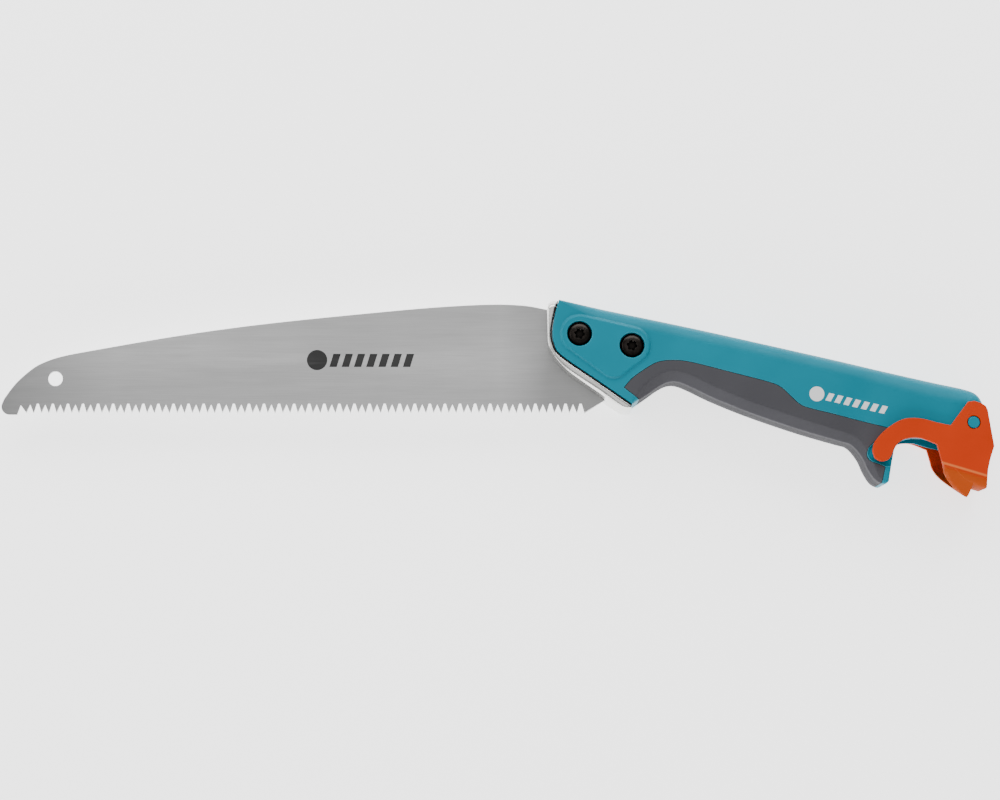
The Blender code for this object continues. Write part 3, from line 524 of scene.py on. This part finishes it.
def combine(target, operation, tool, flip=False, axes=None):
    """Applies a Boolean with a tool, given as a mesh in the handle's axes or as an object."""
    if isinstance(tool, bmesh.types.BMesh):
        tool = place("tool", tool, axes or HANDLE_AXES, flip)
    boolean = target.modifiers.new("shape", "BOOLEAN")
    boolean.operation = operation
    boolean.solver = "MANIFOLD"
    boolean.object = tool
    graph = bpy.context.evaluated_depsgraph_get()
    shaped = bpy.data.meshes.new_from_object(target.evaluated_get(graph))
    used = (target.data, tool.data)
    target.modifiers.clear()
    target.data = shaped
    bpy.data.objects.remove(tool)
    for mesh in used:
        bpy.data.meshes.remove(mesh)


def complete(item, material, node, body="saw", sharp_deg=32.0):
    """Smooth shading, the material in the piece's slot, its body, and hiding the CAD node it stands
    for.
    """
    item.data.materials.clear()
    item.data.materials.append(material)
    item.data.shade_smooth()
    item.data.set_sharp_from_angle(angle=math.radians(sharp_deg))
    weighted = item.modifiers.new("flat_faces", "WEIGHTED_NORMAL")
    weighted.keep_sharp = True
    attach(item, body)
    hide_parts(node)


def blade_outline():
    """The blade's side view in saw axes as (x, y, chamfer, tooth number), counter-clockwise."""
    spine = [(*p, SPINE_CHAMFER, None) for p in smooth(BLADE_SPINE, 5)]
    nose = [(*p, NOSE_CHAMFER, None) for p in circle(NOSE, NOSE_RADIUS, 13, 170.0, 100.0)]
    points = nose + [(*p, 0.0, None) for p in FIRST_TOOTH]
    gullet = TOOTH_LINE + TOOTH_DEPTH
    for pair in range(TOOTH_PAIRS, -1, -1):
        tip = LAST_TOOTH_X - 2 * pair * TOOTH_PITCH
        points.append((tip, TOOTH_LINE, 0.0, 0))
        if pair:
            points.append((tip + TOOTH_PITCH / 2, gullet, 0.0, None))
            points.append((tip + TOOTH_PITCH, TOOTH_LINE, 0.0, 1))
            middle = tip + 1.5 * TOOTH_PITCH
            for x in (middle - WIDE_GULLET / 2, middle + WIDE_GULLET / 2):
                points.append((x, gullet + WIDE_GULLET_EXTRA, 0.0, None))
    points += [(*p, 0.0, None) for p in TANG_EDGE[::-1]]
    return points + spine[::-1]


def make_blade(steel):
    """Flat blade with a chamfered spine, and teeth filed from alternate sides."""
    outline = blade_outline()
    half = BLADE_THICKNESS / 2
    rings = []
    for height, chamfered in ((-half, 1), (-half + SPINE_CHAMFER, 0), (half - SPINE_CHAMFER, 0),
                              (half, 1)):
        share = (height + half) / BLADE_THICKNESS
        filed = {0: share, 1: 1 - share, None: 0.0}
        ring = inset(outline, [p[2] * chamfered for p in outline])
        rings.append([(x, y + FILED_TIP * filed[p[3]], height) for (x, y), p in zip(ring, outline)])
    blade = place("saw_blade_steel", layered(rings), SAW_AXES)
    *centre, radius = HANG_HOLE
    bore = half - HOLE_CHAMFER
    reach = 2.0
    flare = radius + reach - bore
    profile = ((flare, -reach), (radius, -bore), (radius, bore), (flare, reach))
    combine(blade, "DIFFERENCE", turned(profile, centre, 48), axes=SAW_AXES)
    complete(blade, steel, "saw_blade", sharp_deg=15.0)


def make_bolster(alloy):
    """One casting: the collar round the blade and the slotted block between the shells."""
    bolster = place("bolster_casting", pillow(collar_outline(), COLLAR_HALF), HANDLE_AXES)
    combine(bolster, "INTERSECT", pillow(casting_envelope(), COLLAR_HALF + 0.2))
    combine(bolster, "UNION", pillow(tang_block_outline(), TANG_BLOCK_HALF, steps=4))
    slot_half = BLADE_THICKNESS / 2 + GAP
    slot = prism(tang_outline(GAP), -slot_half, slot_half)
    combine(bolster, "DIFFERENCE", slot, axes=SAW_AXES)
    for u in (-SCREW_U, SCREW_U):
        hole = prism(circle((u, SCREW_V), SLEEVE_RADIUS + GAP, 32), -THROUGH, THROUGH)
        combine(bolster, "DIFFERENCE", hole)
    complete(bolster, alloy, "bolster")


def make_gasket(rubber):
    """A thin frame that follows the shells' front ends on both sides, over and under the block."""
    band = front_curve(GAP + GASKET) + front_curve(GAP)[::-1]
    gasket = place("gasket_strip", prism(band, -PAD_HALF, PAD_HALF), HANDLE_AXES)
    combine(gasket, "INTERSECT", pillow(casting_envelope(), COLLAR_HALF))
    combine(gasket, "DIFFERENCE", pillow(tang_block_outline(), CAVITY_HALF, depth=-GAP, steps=4))
    complete(gasket, rubber, "bolster_gasket")


def screw_pad():
    """The raised pad round the blade screws, with a softly rounded rim."""
    pad = convex_outline(PAD_CORNERS)
    rings = []
    for height, distance in PAD_RIM:
        rings.append([(*p, height) for p in inset(pad, [distance] * len(pad))])
    return layered(rings)


def make_shell(side, teal, flip):
    """A shell half: outer form, less the grip's seat and the hollow, plus pad, bosses and ribs."""
    outline = handle_outline()
    outer = handle_half(outline, FLANK_HALF, BUTT_HALF, SEAM)
    shell = place(side + "_shell_moulding", outer, HANDLE_AXES, flip)
    seat = place("seat", prism(grip_zone(GAP), -PAST, FLANK_HALF + PAST), HANDLE_AXES, flip)
    depth = GRIP_SKIN + GAP
    core = handle_half(outline, FLANK_HALF - depth, BUTT_HALF - depth, -2 * PAST, depth)
    combine(seat, "DIFFERENCE", core, flip)
    combine(shell, "DIFFERENCE", seat)
    hollow = handle_half(cavity_outline(), CAVITY_HALF, SOCKET_HALF, -PAST, steps=5)
    combine(shell, "DIFFERENCE", hollow, flip)
    combine(shell, "UNION", screw_pad(), flip)
    for _, u, v, _ in SHELL_SCREWS:
        boss = prism(circle((u, v), BOSS_RADIUS, 24), SEAM, CAVITY_HALF + 0.4)
        combine(shell, "UNION", boss, flip)
    foot, top = RIB_V
    for low in (STOP_U[0] - GAP - RIB, STOP_U[1] + GAP):
        box = [(low, foot), (low + RIB, foot), (low + RIB, top), (low, top)]
        combine(shell, "UNION", prism(box, CAVITY_HALF - RIB, CAVITY_HALF + 1.0), flip)
    cut_side_holes(shell, flip)
    complete(shell, teal, side + "_shell")


def cut_side_holes(shell, flip):
    """Counterbores and holes for the screws, the lever's pocket and its pivot pin."""
    shank = SLEEVE_RADIUS if flip else SCREW_RADIUS
    for u in (-SCREW_U, SCREW_U):
        centre = (u, SCREW_V)
        combine(shell, "DIFFERENCE", counterbore(centre), flip)
        hole = prism(circle(centre, shank + GAP, 32), IN_HOLLOW, PAD_HALF + PAST)
        combine(shell, "DIFFERENCE", hole, flip)
    pocket = prism(pocket_outline(), BUTT_HALF - POCKET_DEPTH, FLANK_HALF + PAST)
    combine(shell, "DIFFERENCE", pocket, flip)
    pin_hole = prism(circle(PIVOT, PIVOT_RADIUS + GAP, 48), IN_HOLLOW, FLANK_HALF)
    combine(shell, "DIFFERENCE", pin_hole, flip)
    for _, u, v, seat in SHELL_SCREWS:
        deep = (FLANK_HALF if flip else SHELL_SCREW_END) + PAST
        hole = prism(circle((u, v), SHELL_SCREW_RADIUS + GAP, 20), -PAST, deep)
        combine(shell, "DIFFERENCE", hole, flip)
        if flip:
            head = prism(circle((u, v), SHELL_HEAD_RADIUS + GAP, 40), seat, FLANK_HALF + PAST)
            combine(shell, "DIFFERENCE", head, flip)


def counterbore(centre):
    """Recess for a blade screw's head, with a broken edge."""
    radius = HEAD_RADIUS + GAP
    edge = 0.3
    profile = ((radius, HEAD_SEAT), (radius, PAD_HALF - edge), (radius + edge + PAST, PAD_HALF + PAST))
    return turned(profile, centre, 72)


def facet_rings(outline):
    """Rings up one side of the grip, whose lower edge is a broad facet instead of a round one."""
    rings = [[(*p[:2], SEAM) for p in outline]]
    for inward, down in GRIP_FACET:
        ring = inset(outline, [p[2] * inward for p in outline])
        rings.append([(*q, FLANK_HALF - p[2] * down) for q, p in zip(ring, outline)])
    return rings


def make_grip(side, soft, flip):
    """The soft skin: the handle's outer form inside the grip's outline, less the layer below."""
    outline = handle_outline()
    outer = layered(facet_rings(outline))
    taper_to_butt(outer, FLANK_HALF, BUTT_HALF, SEAM)
    grip = place(side + "_grip_skin", outer, HANDLE_AXES, flip)
    combine(grip, "INTERSECT", prism(grip_zone(0.0), -PAST, FLANK_HALF + PAST), flip)
    under = handle_half(outline, FLANK_HALF - GRIP_SKIN, BUTT_HALF - GRIP_SKIN, -2 * PAST, GRIP_SKIN)
    combine(grip, "DIFFERENCE", under, flip)
    complete(grip, soft, side + "_grip")


def six_lobes(centre, grow=0.0):
    """The outline of a six-lobed driver socket."""
    points = []
    for step in range(72):
        angle = math.radians(5.0 * step)
        radius = SOCKET_RADIUS + grow + SOCKET_LOBE * math.cos(6 * angle)
        points.append((centre[0] + radius * math.cos(angle), centre[1] + radius * math.sin(angle)))
    return points


def socket(centre, depth):
    """Driver socket with a broken edge at the top of the head."""
    levels = ((HEAD_TOP - depth, 0.0), (HEAD_TOP - 0.35, 0.0), (HEAD_TOP + 0.25, 0.6))
    return layered([[(*p, z) for p in six_lobes(centre, grow)] for z, grow in levels])


def dome(seat):
    """The profile of a button head from its seat: (radius, height) up to the flat round the socket."""
    foot = seat + HEAD_RIM
    angles = [math.radians(a) for a in range(0, 71, 7)]
    full_rise = (HEAD_TOP - foot) / math.sin(angles[-1])
    arc = [(HEAD_RADIUS * math.cos(a), foot + full_rise * math.sin(a)) for a in angles]
    return [(HEAD_RADIUS - 0.3, seat), (HEAD_RADIUS, seat + 0.25), *arc]


def make_blade_screw(end, u, black):
    """Button-head screw with a six-lobed socket, from the left shell into the sleeve nut."""
    centre = (u, SCREW_V)
    seat = HEAD_SEAT + GAP
    profile = [(SCREW_RADIUS, SCREW_END), (SCREW_RADIUS, seat), *dome(seat)]
    screw = place(end + "_screw_head", turned(profile, centre, 72), HANDLE_AXES)
    combine(screw, "DIFFERENCE", socket(centre, SCREW_SOCKET_DEPTH))
    complete(screw, black, end + "_blade_screw")


def make_sleeve_nut(end, u, black):
    """Button head on the right side, with a threaded sleeve through the block and the blade."""
    centre = (u, SCREW_V)
    seat = HEAD_SEAT + 2 * GAP + WASHER_THICKNESS
    profile = [(SLEEVE_RADIUS, -SLEEVE_END), (SLEEVE_RADIUS, seat), *dome(seat)]
    nut = place(end + "_nut_head", turned(profile, centre, 72), HANDLE_AXES, flip=True)
    combine(nut, "DIFFERENCE", socket(centre, NUT_SOCKET_DEPTH), flip=True)
    bore = prism(circle(centre, SCREW_RADIUS + GAP, 20), BORE_END, SLEEVE_END + PAST)
    combine(nut, "DIFFERENCE", bore)
    complete(nut, black, end + "_sleeve_nut")


def make_pivot_pin(side, teal, flip):
    """Stub pin through the lever's plate, with a rounded end just below the plate's face."""
    foot = PAD_HALF - PIN_SUNK - PIN_ROUND
    angles = [math.radians(a) for a in range(0, 91, 15)]
    end = [(PIVOT_RADIUS - PIN_ROUND * (1 - math.cos(a)), foot + PIN_ROUND * math.sin(a))
           for a in angles]
    profile = [(PIVOT_RADIUS - 0.5, SOCKET_HALF + 0.2), (PIVOT_RADIUS, SOCKET_HALF + 0.7), *end]
    pin = place(side + "_pin_boss", turned(profile, PIVOT, 64), HANDLE_AXES, flip)
    complete(pin, teal, side + "_pivot_pin")


def web_point(u, depth, w):
    """The point (u, v, w) at a depth below the bend line."""
    return (u, BEND_START[1] - BEND_SLOPE * (u - BEND_START[0]) - depth, w)


def web_block(section, front, rear, stand=0.0):
    """A convex piece of the web: its half section on both sides, between two end tables."""
    depths = {depth for table in (section, front, rear) for depth, _ in table}
    points = []
    for side in (-1, 1):
        for end in (front, rear):
            for depth in sorted(depths):
                w = min(along(section, depth) + stand, PAD_HALF)
                points.append(web_point(along(end, depth), depth, side * w))
    return points


def web_hollow(section, end_u):
    """The space inside the web, from in front of it to end_u."""
    rings = []
    for u in (BEND_START[0] - 20.0, end_u):
        half = [web_point(u, depth, w) for depth, w in section]
        rings.append(half + [(u, v, -w) for _, v, w in half[::-1]])
    return layered(rings)


def side_plate(low, high):
    """One arm with its plate between two heights, with rounded edges."""
    plate = lever_plate_outline()
    levels = ((low, 1.0), (low + PLATE_ROUND / 3, 0.33), (low + PLATE_ROUND, 0.0),
              (high - PLATE_ROUND, 0.0), (high - PLATE_ROUND / 3, 0.33), (high, 1.0))
    rings = []
    for height, share in levels:
        rings.append([(*p, height) for p in inset(plate, [PLATE_ROUND * share] * len(plate))])
    return layered(rings)


def make_lever(orange):
    """Two arms and side plates over the butt, joined below it by a folded web."""
    lever = place("pole_lever_folded", side_plate(LEVER_INNER, PAD_HALF), HANDLE_AXES)
    combine(lever, "UNION", side_plate(-PAD_HALF, -LEVER_INNER))
    outer_section = smooth(PROW_SECTION, FINE)
    inner_section = [(depth, max(w - PROW_RIM[1], 0.0)) for depth, w in outer_section]
    growth = ((0.0, 0.0), (RIM_GROWTH, PROW_RIM[0]))
    face_front = [(depth, u + along(growth, depth)) for depth, u in PROW_FRONT]
    prow = web_block(outer_section, smooth(face_front, FINE), PROW_REAR)
    prow += web_block(inner_section, smooth(PROW_FRONT, FINE), PROW_REAR)
    combine(lever, "UNION", hull(prow))
    trough = web_block(smooth(TROUGH_SECTION, FINE), TROUGH_FRONT, smooth(TROUGH_REAR, FINE), CREASE)
    combine(lever, "UNION", hull(trough))
    combine(lever, "DIFFERENCE", web_hollow(TROUGH_HOLLOW, TROUGH_HOLLOW_END))
    combine(lever, "DIFFERENCE", web_hollow(PROW_HOLLOW, PROW_HOLLOW_END))
    combine(lever, "DIFFERENCE", prism(circle(PIVOT, PIVOT_HOLE_RADIUS, 64), -THROUGH, THROUGH))
    complete(lever, orange, "pole_lever", body="lever")


def add(tree, kind, inputs=(), **settings):
    """Adds a shader node; inputs are (socket, value or output socket) pairs."""
    made = tree.nodes.new(kind)
    for name, value in settings.items():
        setattr(made, name, value)
    for name, value in inputs:
        if isinstance(value, bpy.types.NodeSocket):
            tree.links.new(value, made.inputs[name])
        else:
            made.inputs[name].default_value = value
    return made


def calculate(tree, operation, *values):
    """A Math node's output."""
    return add(tree, "ShaderNodeMath", enumerate(values), operation=operation).outputs[0]


def times(tree, first, *others):
    """The product of some values and output sockets."""
    for value in others:
        first = calculate(tree, "MULTIPLY", first, value)
    return first


def vector_step(tree, operation, first, second):
    """A Vector Math node."""
    return add(tree, "ShaderNodeVectorMath", ((0, first), (1, second)), operation=operation)


def noise(tree, position, scale, detail=3.0, stretch=(1.0, 1.0, 1.0)):
    """Noise in object space; scale is in features per metre."""
    spread = add(tree, "ShaderNodeMapping", (("Vector", position), ("Scale", stretch)))
    inputs = (("Vector", spread.outputs[0]), ("Scale", scale), ("Detail", detail))
    return add(tree, "ShaderNodeTexNoise", inputs).outputs["Fac"]


def ranged(tree, value, low, high, from_low=0.3, from_high=0.7):
    """Maps a value from its own range, by default a noise's usual one, to low..high."""
    inputs = (("Value", value), ("From Min", from_low), ("From Max", from_high), ("To Min", low),
              ("To Max", high))
    return add(tree, "ShaderNodeMapRange", inputs).outputs[0]


def blend(tree, factor, first, second):
    """Mixes two colours, each a colour or a socket."""
    made = add(tree, "ShaderNodeMix", data_type="RGBA")
    for number, value in ((0, factor), (6, first), (7, second)):
        if isinstance(value, bpy.types.NodeSocket):
            tree.links.new(value, made.inputs[number])
        else:
            made.inputs[number].default_value = value
    return made.outputs[2]


def grey(value):
    """An opaque grey."""
    return (value, value, value, 1.0)


def scaled(colour, factor):
    """A colour made lighter or darker, and opaque."""
    return (*[c * factor for c in colour], 1.0)


def edge_mask(tree, radius):
    """1 on edges and corners of the shape within the radius, 0 on its faces."""
    rounded = add(tree, "ShaderNodeBevel", (("Radius", radius),), samples=4).outputs[0]
    true_normal = add(tree, "ShaderNodeNewGeometry").outputs["Normal"]
    alike = vector_step(tree, "DOT_PRODUCT", rounded, true_normal).outputs["Value"]
    return ranged(tree, alike, 1.0, 0.0, 0.86, 0.995)


def start(name, tilt_deg=0.0, **sockets):
    """A new material: its tree, its shader and the position in the saw's or the handle's axes."""
    made = bpy.data.materials.new(name)
    made.use_nodes = True
    tree = made.node_tree
    shader = tree.nodes["Principled BSDF"]
    for socket_name, value in sockets.items():
        shader.inputs[socket_name.replace("_", " ")].default_value = value
    own = add(tree, "ShaderNodeTexCoord").outputs["Object"]
    inputs = (("Vector", own), ("Location", (0.0, 0.0, -PAD_HALF * MM)),
              ("Rotation", (0.0, 0.0, math.radians(tilt_deg))))
    position = add(tree, "ShaderNodeMapping", inputs).outputs[0]
    return made, tree, shader, position


def connect(tree, shader, **sources):
    """Links output sockets to the shader's inputs, named with _ for each space."""
    for socket_name, source in sources.items():
        tree.links.new(source, shader.inputs[socket_name.replace("_", " ")])


def bumped(tree, height, strength, distance, normal=None):
    """The surface normal disturbed by a height, over another normal if one is given."""
    inputs = [("Height", height), ("Strength", strength), ("Distance", distance)]
    if normal:
        inputs.append(("Normal", normal))
    return add(tree, "ShaderNodeBump", inputs).outputs[0]


def split(tree, position):
    """The three coordinates of a position."""
    return add(tree, "ShaderNodeSeparateXYZ", (("Vector", position),)).outputs


def stripes(tree, position, first, middle, height, pitch):
    """Mask of slanted bars in a row along the object's first axis, all sizes in millimetres."""
    x, y, _ = split(tree, position)
    across_mm = calculate(tree, "SUBTRACT", calculate(tree, "DIVIDE", y, MM), middle)
    along_mm = calculate(tree, "SUBTRACT", calculate(tree, "DIVIDE", x, MM), first)
    slanted = calculate(tree, "SUBTRACT", along_mm, times(tree, across_mm, BAR_LEAN))
    number = calculate(tree, "DIVIDE", slanted, pitch)
    bars = calculate(tree, "LESS_THAN", calculate(tree, "FRACT", number), BAR_SHARE)
    inside = calculate(tree, "COMPARE", number, BAR_COUNT / 2, BAR_COUNT / 2)
    tall = calculate(tree, "COMPARE", across_mm, 0.0, height / 2)
    return times(tree, bars, inside, tall)


def disc(tree, position, centre, radius):
    """Mask of a dot, in millimetres."""
    middle = (centre[0] * MM, centre[1] * MM, 0.0)
    flat = vector_step(tree, "MULTIPLY", position, (1.0, 1.0, 0.0)).outputs["Vector"]
    far = vector_step(tree, "DISTANCE", flat, middle).outputs["Value"]
    return calculate(tree, "LESS_THAN", far, radius * MM)


def printed_mark(tree, position, dot, radius, bars):
    """Mask of a generic mark on the left side: a dot and a row of bars."""
    shapes = (stripes(tree, position, *bars), disc(tree, position, dot, radius))
    left_side = calculate(tree, "GREATER_THAN", split(tree, position)[2], 0.0)
    return times(tree, calculate(tree, "MAXIMUM", *shapes), left_side)


def steel_finish():
    """Ground blade steel: lengthwise grinding marks, ends darkened by painted shade, and a printed
    black mark.
    """
    made, tree, shader, position = start("blade_steel_ground", Metallic=1.0, Anisotropic=0.5)
    lines = noise(tree, position, 2600.0, 4.0, (0.02, 1.0, 1.0))
    streaks = noise(tree, position, 300.0, 3.0, (0.05, 1.0, 1.0))
    clouds = noise(tree, position, 22.0, 2.0)
    x = split(tree, position)[0]
    # Painted shade: the steel is made darker towards the tip and towards the bolster.
    tip = ranged(tree, x, 0.6, 1.0, -0.325, -0.26)
    root_shade = ranged(tree, x, 1.0, 0.72, -0.055, -0.03)
    shade = calculate(tree, "ADD", ranged(tree, lines, 0.53, 0.6), ranged(tree, streaks, -0.02, 0.02))
    shade = times(tree, shade, ranged(tree, clouds, 0.97, 1.03), tip, root_shade)
    wear_and_highlight = edge_mask(tree, 0.25 * MM)
    colour = blend(tree, times(tree, wear_and_highlight, 0.35), shade, grey(0.7))
    mark = printed_mark(tree, position, *BLADE_MARK)
    printed = times(tree, mark, ranged(tree, streaks, 1.0, 0.93, 0.62, 0.72))
    colour = blend(tree, printed, colour, grey(0.012))
    rough = blend(tree, printed, ranged(tree, lines, 0.34, 0.46), grey(0.5))
    connect(tree, shader, Base_Color=colour, Roughness=rough,
            Metallic=calculate(tree, "SUBTRACT", 1.0, printed),
            Normal=bumped(tree, lines, 0.12, 0.02 * MM))
    return made


def alloy_finish():
    """Polished casting with faint waviness and fine pits."""
    made, tree, shader, position = start("bolster_polished", Metallic=1.0)
    waves = noise(tree, position, 120.0, 2.0)
    pits = noise(tree, position, 1800.0, 4.0)
    rounded = add(tree, "ShaderNodeBevel", (("Radius", 1.0 * MM),), samples=6).outputs[0]
    shade = calculate(tree, "ADD", ranged(tree, waves, 0.74, 0.82), ranged(tree, pits, -0.03, 0.01))
    channels = (("Red", shade), ("Green", shade), ("Blue", times(tree, shade, 0.97)))
    tinted = add(tree, "ShaderNodeCombineColor", channels).outputs[0]
    normal = bumped(tree, waves, 0.08, 0.4 * MM, rounded)
    connect(tree, shader, Base_Color=tinted, Roughness=ranged(tree, pits, 0.17, 0.3),
            Normal=bumped(tree, pits, 0.03, 0.02 * MM, normal))
    return made


def fold_depth(tree, position):
    """Distance below the lever's bend line, in millimetres; well above it on the arms."""
    x, y, _ = split(tree, position)
    fall = times(tree, x, BEND_SLOPE / MM)
    start_level = BEND_START[1] + BEND_SLOPE * BEND_START[0]
    level = calculate(tree, "SUBTRACT", start_level, fall)
    depth = calculate(tree, "SUBTRACT", level, calculate(tree, "DIVIDE", y, MM))
    on_arm = calculate(tree, "LESS_THAN", x, ARM_ROOT * MM)
    return calculate(tree, "SUBTRACT", depth, times(tree, on_arm, 100.0))


def mark_tint(tree, position, base):
    """A light mark printed on the handle."""
    return blend(tree, printed_mark(tree, position, *HANDLE_MARK), base, (*MARK_WHITE, 1.0))


def fold_shade_and_highlight(tree, position, base):
    """Painted shade: deeper orange below the lever's bend; and a painted highlight along the outside
    of the bend.
    """
    depth = fold_depth(tree, position)
    base = blend(tree, ranged(tree, depth, 0.0, 1.0, 0.6, 2.4), base, (*SHADED_FOLD_ORANGE, 1.0))
    side = split(tree, position)[2]
    outside = calculate(tree, "GREATER_THAN", calculate(tree, "ABSOLUTE", side), 16.0 * MM)
    # Painted highlight: a lighter line along the outside of the bend.
    line = ranged(tree, calculate(tree, "ABSOLUTE", depth), 0.75, 0.0, 0.2, 0.9)
    return blend(tree, times(tree, line, outside), base, (*BEND_HIGHLIGHT_ORANGE, 1.0))


def seam_shade(tree, position, base):
    """Painted shade: darker rubber on both sides of the seam under the handle."""
    side = split(tree, position)[2]
    # Painted shade: darker towards the middle of the underside.
    shade = ranged(tree, calculate(tree, "ABSOLUTE", side), 0.66, 1.0, 4.5 * MM, 8.0 * MM)
    return blend(tree, shade, (0.0, 0.0, 0.0, 1.0), base)


def moulded(name, colour, roughness, grain, wear_and_highlight_colour, specular=0.12, wear_and_highlight_edge=0.35, tint_and_painted_light=None):
    """Moulded or coated parts: fine texture, faint mottling, edges lightened by wear and a painted
    highlight, and a given tint, which on some parts is painted shade and highlight.
    """
    made, tree, shader, position = start(name, HANDLE_TILT_DEG, Specular_IOR_Level=specular)
    texture = noise(tree, position, grain, 3.0)
    mottle = noise(tree, position, 45.0, 3.0)
    scuffs = noise(tree, position, 350.0, 6.0, (0.25, 1.0, 1.0))
    base = blend(tree, ranged(tree, mottle, 0.0, 1.0), scaled(colour, 0.95), scaled(colour, 1.05))
    # The tint is a printed mark on the shells, and painted shade and highlight on the grip and the
    # lever.
    if tint_and_painted_light:
        base = tint_and_painted_light(tree, position, base)
    # Lighter edges: partly wear, partly a painted highlight that stands in for light caught by the
    # edges.
    wear_and_highlight = times(tree, edge_mask(tree, wear_and_highlight_edge * MM), ranged(tree, scuffs, 0.25, 0.6))
    base = blend(tree, wear_and_highlight, base, (*wear_and_highlight_colour, 1.0))
    rough = ranged(tree, scuffs, roughness - 0.05, roughness + 0.07)
    rounded = add(tree, "ShaderNodeBevel", (("Radius", 0.3 * MM),), samples=4).outputs[0]
    connect(tree, shader, Base_Color=base, Roughness=rough,
            Normal=bumped(tree, texture, 0.25, 0.05 * MM, rounded))
    return made


def metal(name, colour, roughness):
    """Small steel parts: plated or blackened, with fine tool marks and driver sockets darkened by
    painted shade.
    """
    made, tree, shader, position = start(name, Metallic=1.0)
    marks = noise(tree, position, 900.0, 4.0)
    base = blend(tree, ranged(tree, marks, 0.0, 1.0), scaled(colour, 0.85), scaled(colour, 1.15))
    wear_and_highlight = times(tree, edge_mask(tree, 0.2 * MM), 0.35)
    base = blend(tree, wear_and_highlight, base, (*[min(c * 2.5 + 0.05, 0.9) for c in colour], 1.0))
    # Painted shade: ambient occlusion darkens the driver sockets and other recesses.
    open_air = add(tree, "ShaderNodeAmbientOcclusion", (("Distance", 4.0 * MM),), samples=8)
    recess_shade = ranged(tree, open_air.outputs["AO"], 1.0, 0.0, 0.55, 0.9)
    base = blend(tree, recess_shade, base, grey(0.002))
    connect(tree, shader, Base_Color=base,
            Roughness=ranged(tree, marks, roughness - 0.06, roughness + 0.1),
            Normal=bumped(tree, marks, 0.1, 0.03 * MM))
    return made


def zinc_finish():
    """Plated steel of the washers and the shell screws."""
    return metal("zinc_plated", (0.5, 0.51, 0.53), 0.3)


def black_steel_finish():
    """Blackened steel of the blade screws and their nuts."""
    return metal("black_oxide", (0.032, 0.027, 0.024), 0.24)


def shell_finish():
    """Teal plastic with a printed mark."""
    return moulded("teal_moulded", TEAL, 0.42, 2600.0, (0.2, 0.56, 0.64), wear_and_highlight_edge=0.5,
                   tint_and_painted_light=mark_tint)


def grip_finish():
    """Soft grey rubber."""
    return moulded("grip_rubber", GREY, 0.62, 1500.0, (0.14, 0.14, 0.15), specular=0.05,
                   tint_and_painted_light=seam_shade)


def lever_finish():
    """Orange coating on the folded lever."""
    return moulded("orange_coated", ORANGE, 0.5, 1400.0, (0.7, 0.12, 0.02), specular=0.02,
                   tint_and_painted_light=fold_shade_and_highlight)


def black_plastic_finish():
    """Black plastic of the gasket and the pole stop."""
    return moulded("black_moulded", BLACK, 0.6, 1800.0, (0.03, 0.03, 0.03))


def floor_finish():
    """White paper with a glow of its own."""
    made, tree, shader, position = start("floor_white", Roughness=0.9, Specular_IOR_Level=0.1)
    paper = noise(tree, position, 3.0, 2.0)
    connect(tree, shader, Base_Color=blend(tree, paper, grey(0.9), grey(0.93)))
    shader.inputs["Emission Color"].default_value = grey(1.0)
    shader.inputs["Emission Strength"].default_value = FLOOR_GLOW
    return made


def make_floor():
    """A wide pale floor just under the saw."""
    mesh = bmesh.new()
    bmesh.ops.create_grid(mesh, x_segments=8, y_segments=8, size=FLOOR_HALF)
    floor = place("floor", mesh, Matrix.Translation((-0.06, 0.0, cad_box[0].z - FLOOR_DROP)))
    floor.data.materials.append(floor_finish())


def aimed(name, data, position, target):
    """A light or a camera at a position, turned to face a target."""
    item = bpy.data.objects.new(name, data)
    bpy.context.scene.collection.objects.link(item)
    item.location = position
    line = Vector(target) - item.location
    item.rotation_euler = line.to_track_quat("-Z", "Y").to_euler()
    return item


def soft_light(name, position, size, energy):
    """A rectangular area light aimed at the saw."""
    light = bpy.data.lights.new(name, "AREA")
    light.shape = "RECTANGLE"
    light.size, light.size_y = size
    light.energy = energy
    aimed(name, light, position, LIT_POINT)


def make_studio():
    """The lights, and an even light from all round."""
    for light in LIGHTS:
        soft_light(*light)
    world = bpy.data.worlds.new("studio")
    bpy.context.scene.world = world
    world.use_nodes = True
    background = world.node_tree.nodes["Background"]
    background.inputs["Color"].default_value = grey(1.0)
    background.inputs["Strength"].default_value = SURROUND


def make_camera():
    """A long lens above the saw, leaning a little towards the teeth."""
    data = bpy.data.cameras.new("camera")
    data.sensor_width = 36.0
    aim = Vector(CAMERA_AIM) * MM
    foot = Vector(CAMERA_FOOT) * MM
    position = Vector((*foot, aim.z + CAMERA_HEIGHT))
    data.lens = data.sensor_width * (aim - position).length / VIEW_WIDTH
    bpy.context.scene.camera = aimed("camera", data, position, aim)


def paint_inner(name, material):
    """Gives a material to a CAD node that is shown as it is."""
    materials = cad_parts[name].data.materials
    materials.clear()
    materials.append(material)


def main():
    """The visible pieces with their materials, then the floor, the lights and the camera."""
    zinc = zinc_finish()
    black_steel = black_steel_finish()
    teal = shell_finish()
    soft = grip_finish()
    black = black_plastic_finish()

    make_blade(steel_finish())
    make_bolster(alloy_finish())
    make_gasket(black)
    for side, flip in (("left", False), ("right", True)):
        make_shell(side, teal, flip)
        make_grip(side, soft, flip)
        make_pivot_pin(side, teal, flip)
    for end, u in (("front", -SCREW_U), ("rear", SCREW_U)):
        make_blade_screw(end, u, black_steel)
        make_sleeve_nut(end, u, black_steel)
        paint_inner(end + "_lock_washer", zinc)
    make_lever(lever_finish())
    for name, *_ in SHELL_SCREWS:
        paint_inner("shell_screw_" + name, zinc)
    paint_inner("pole_stop", black)
    make_floor()
    make_studio()
    make_camera()


main()
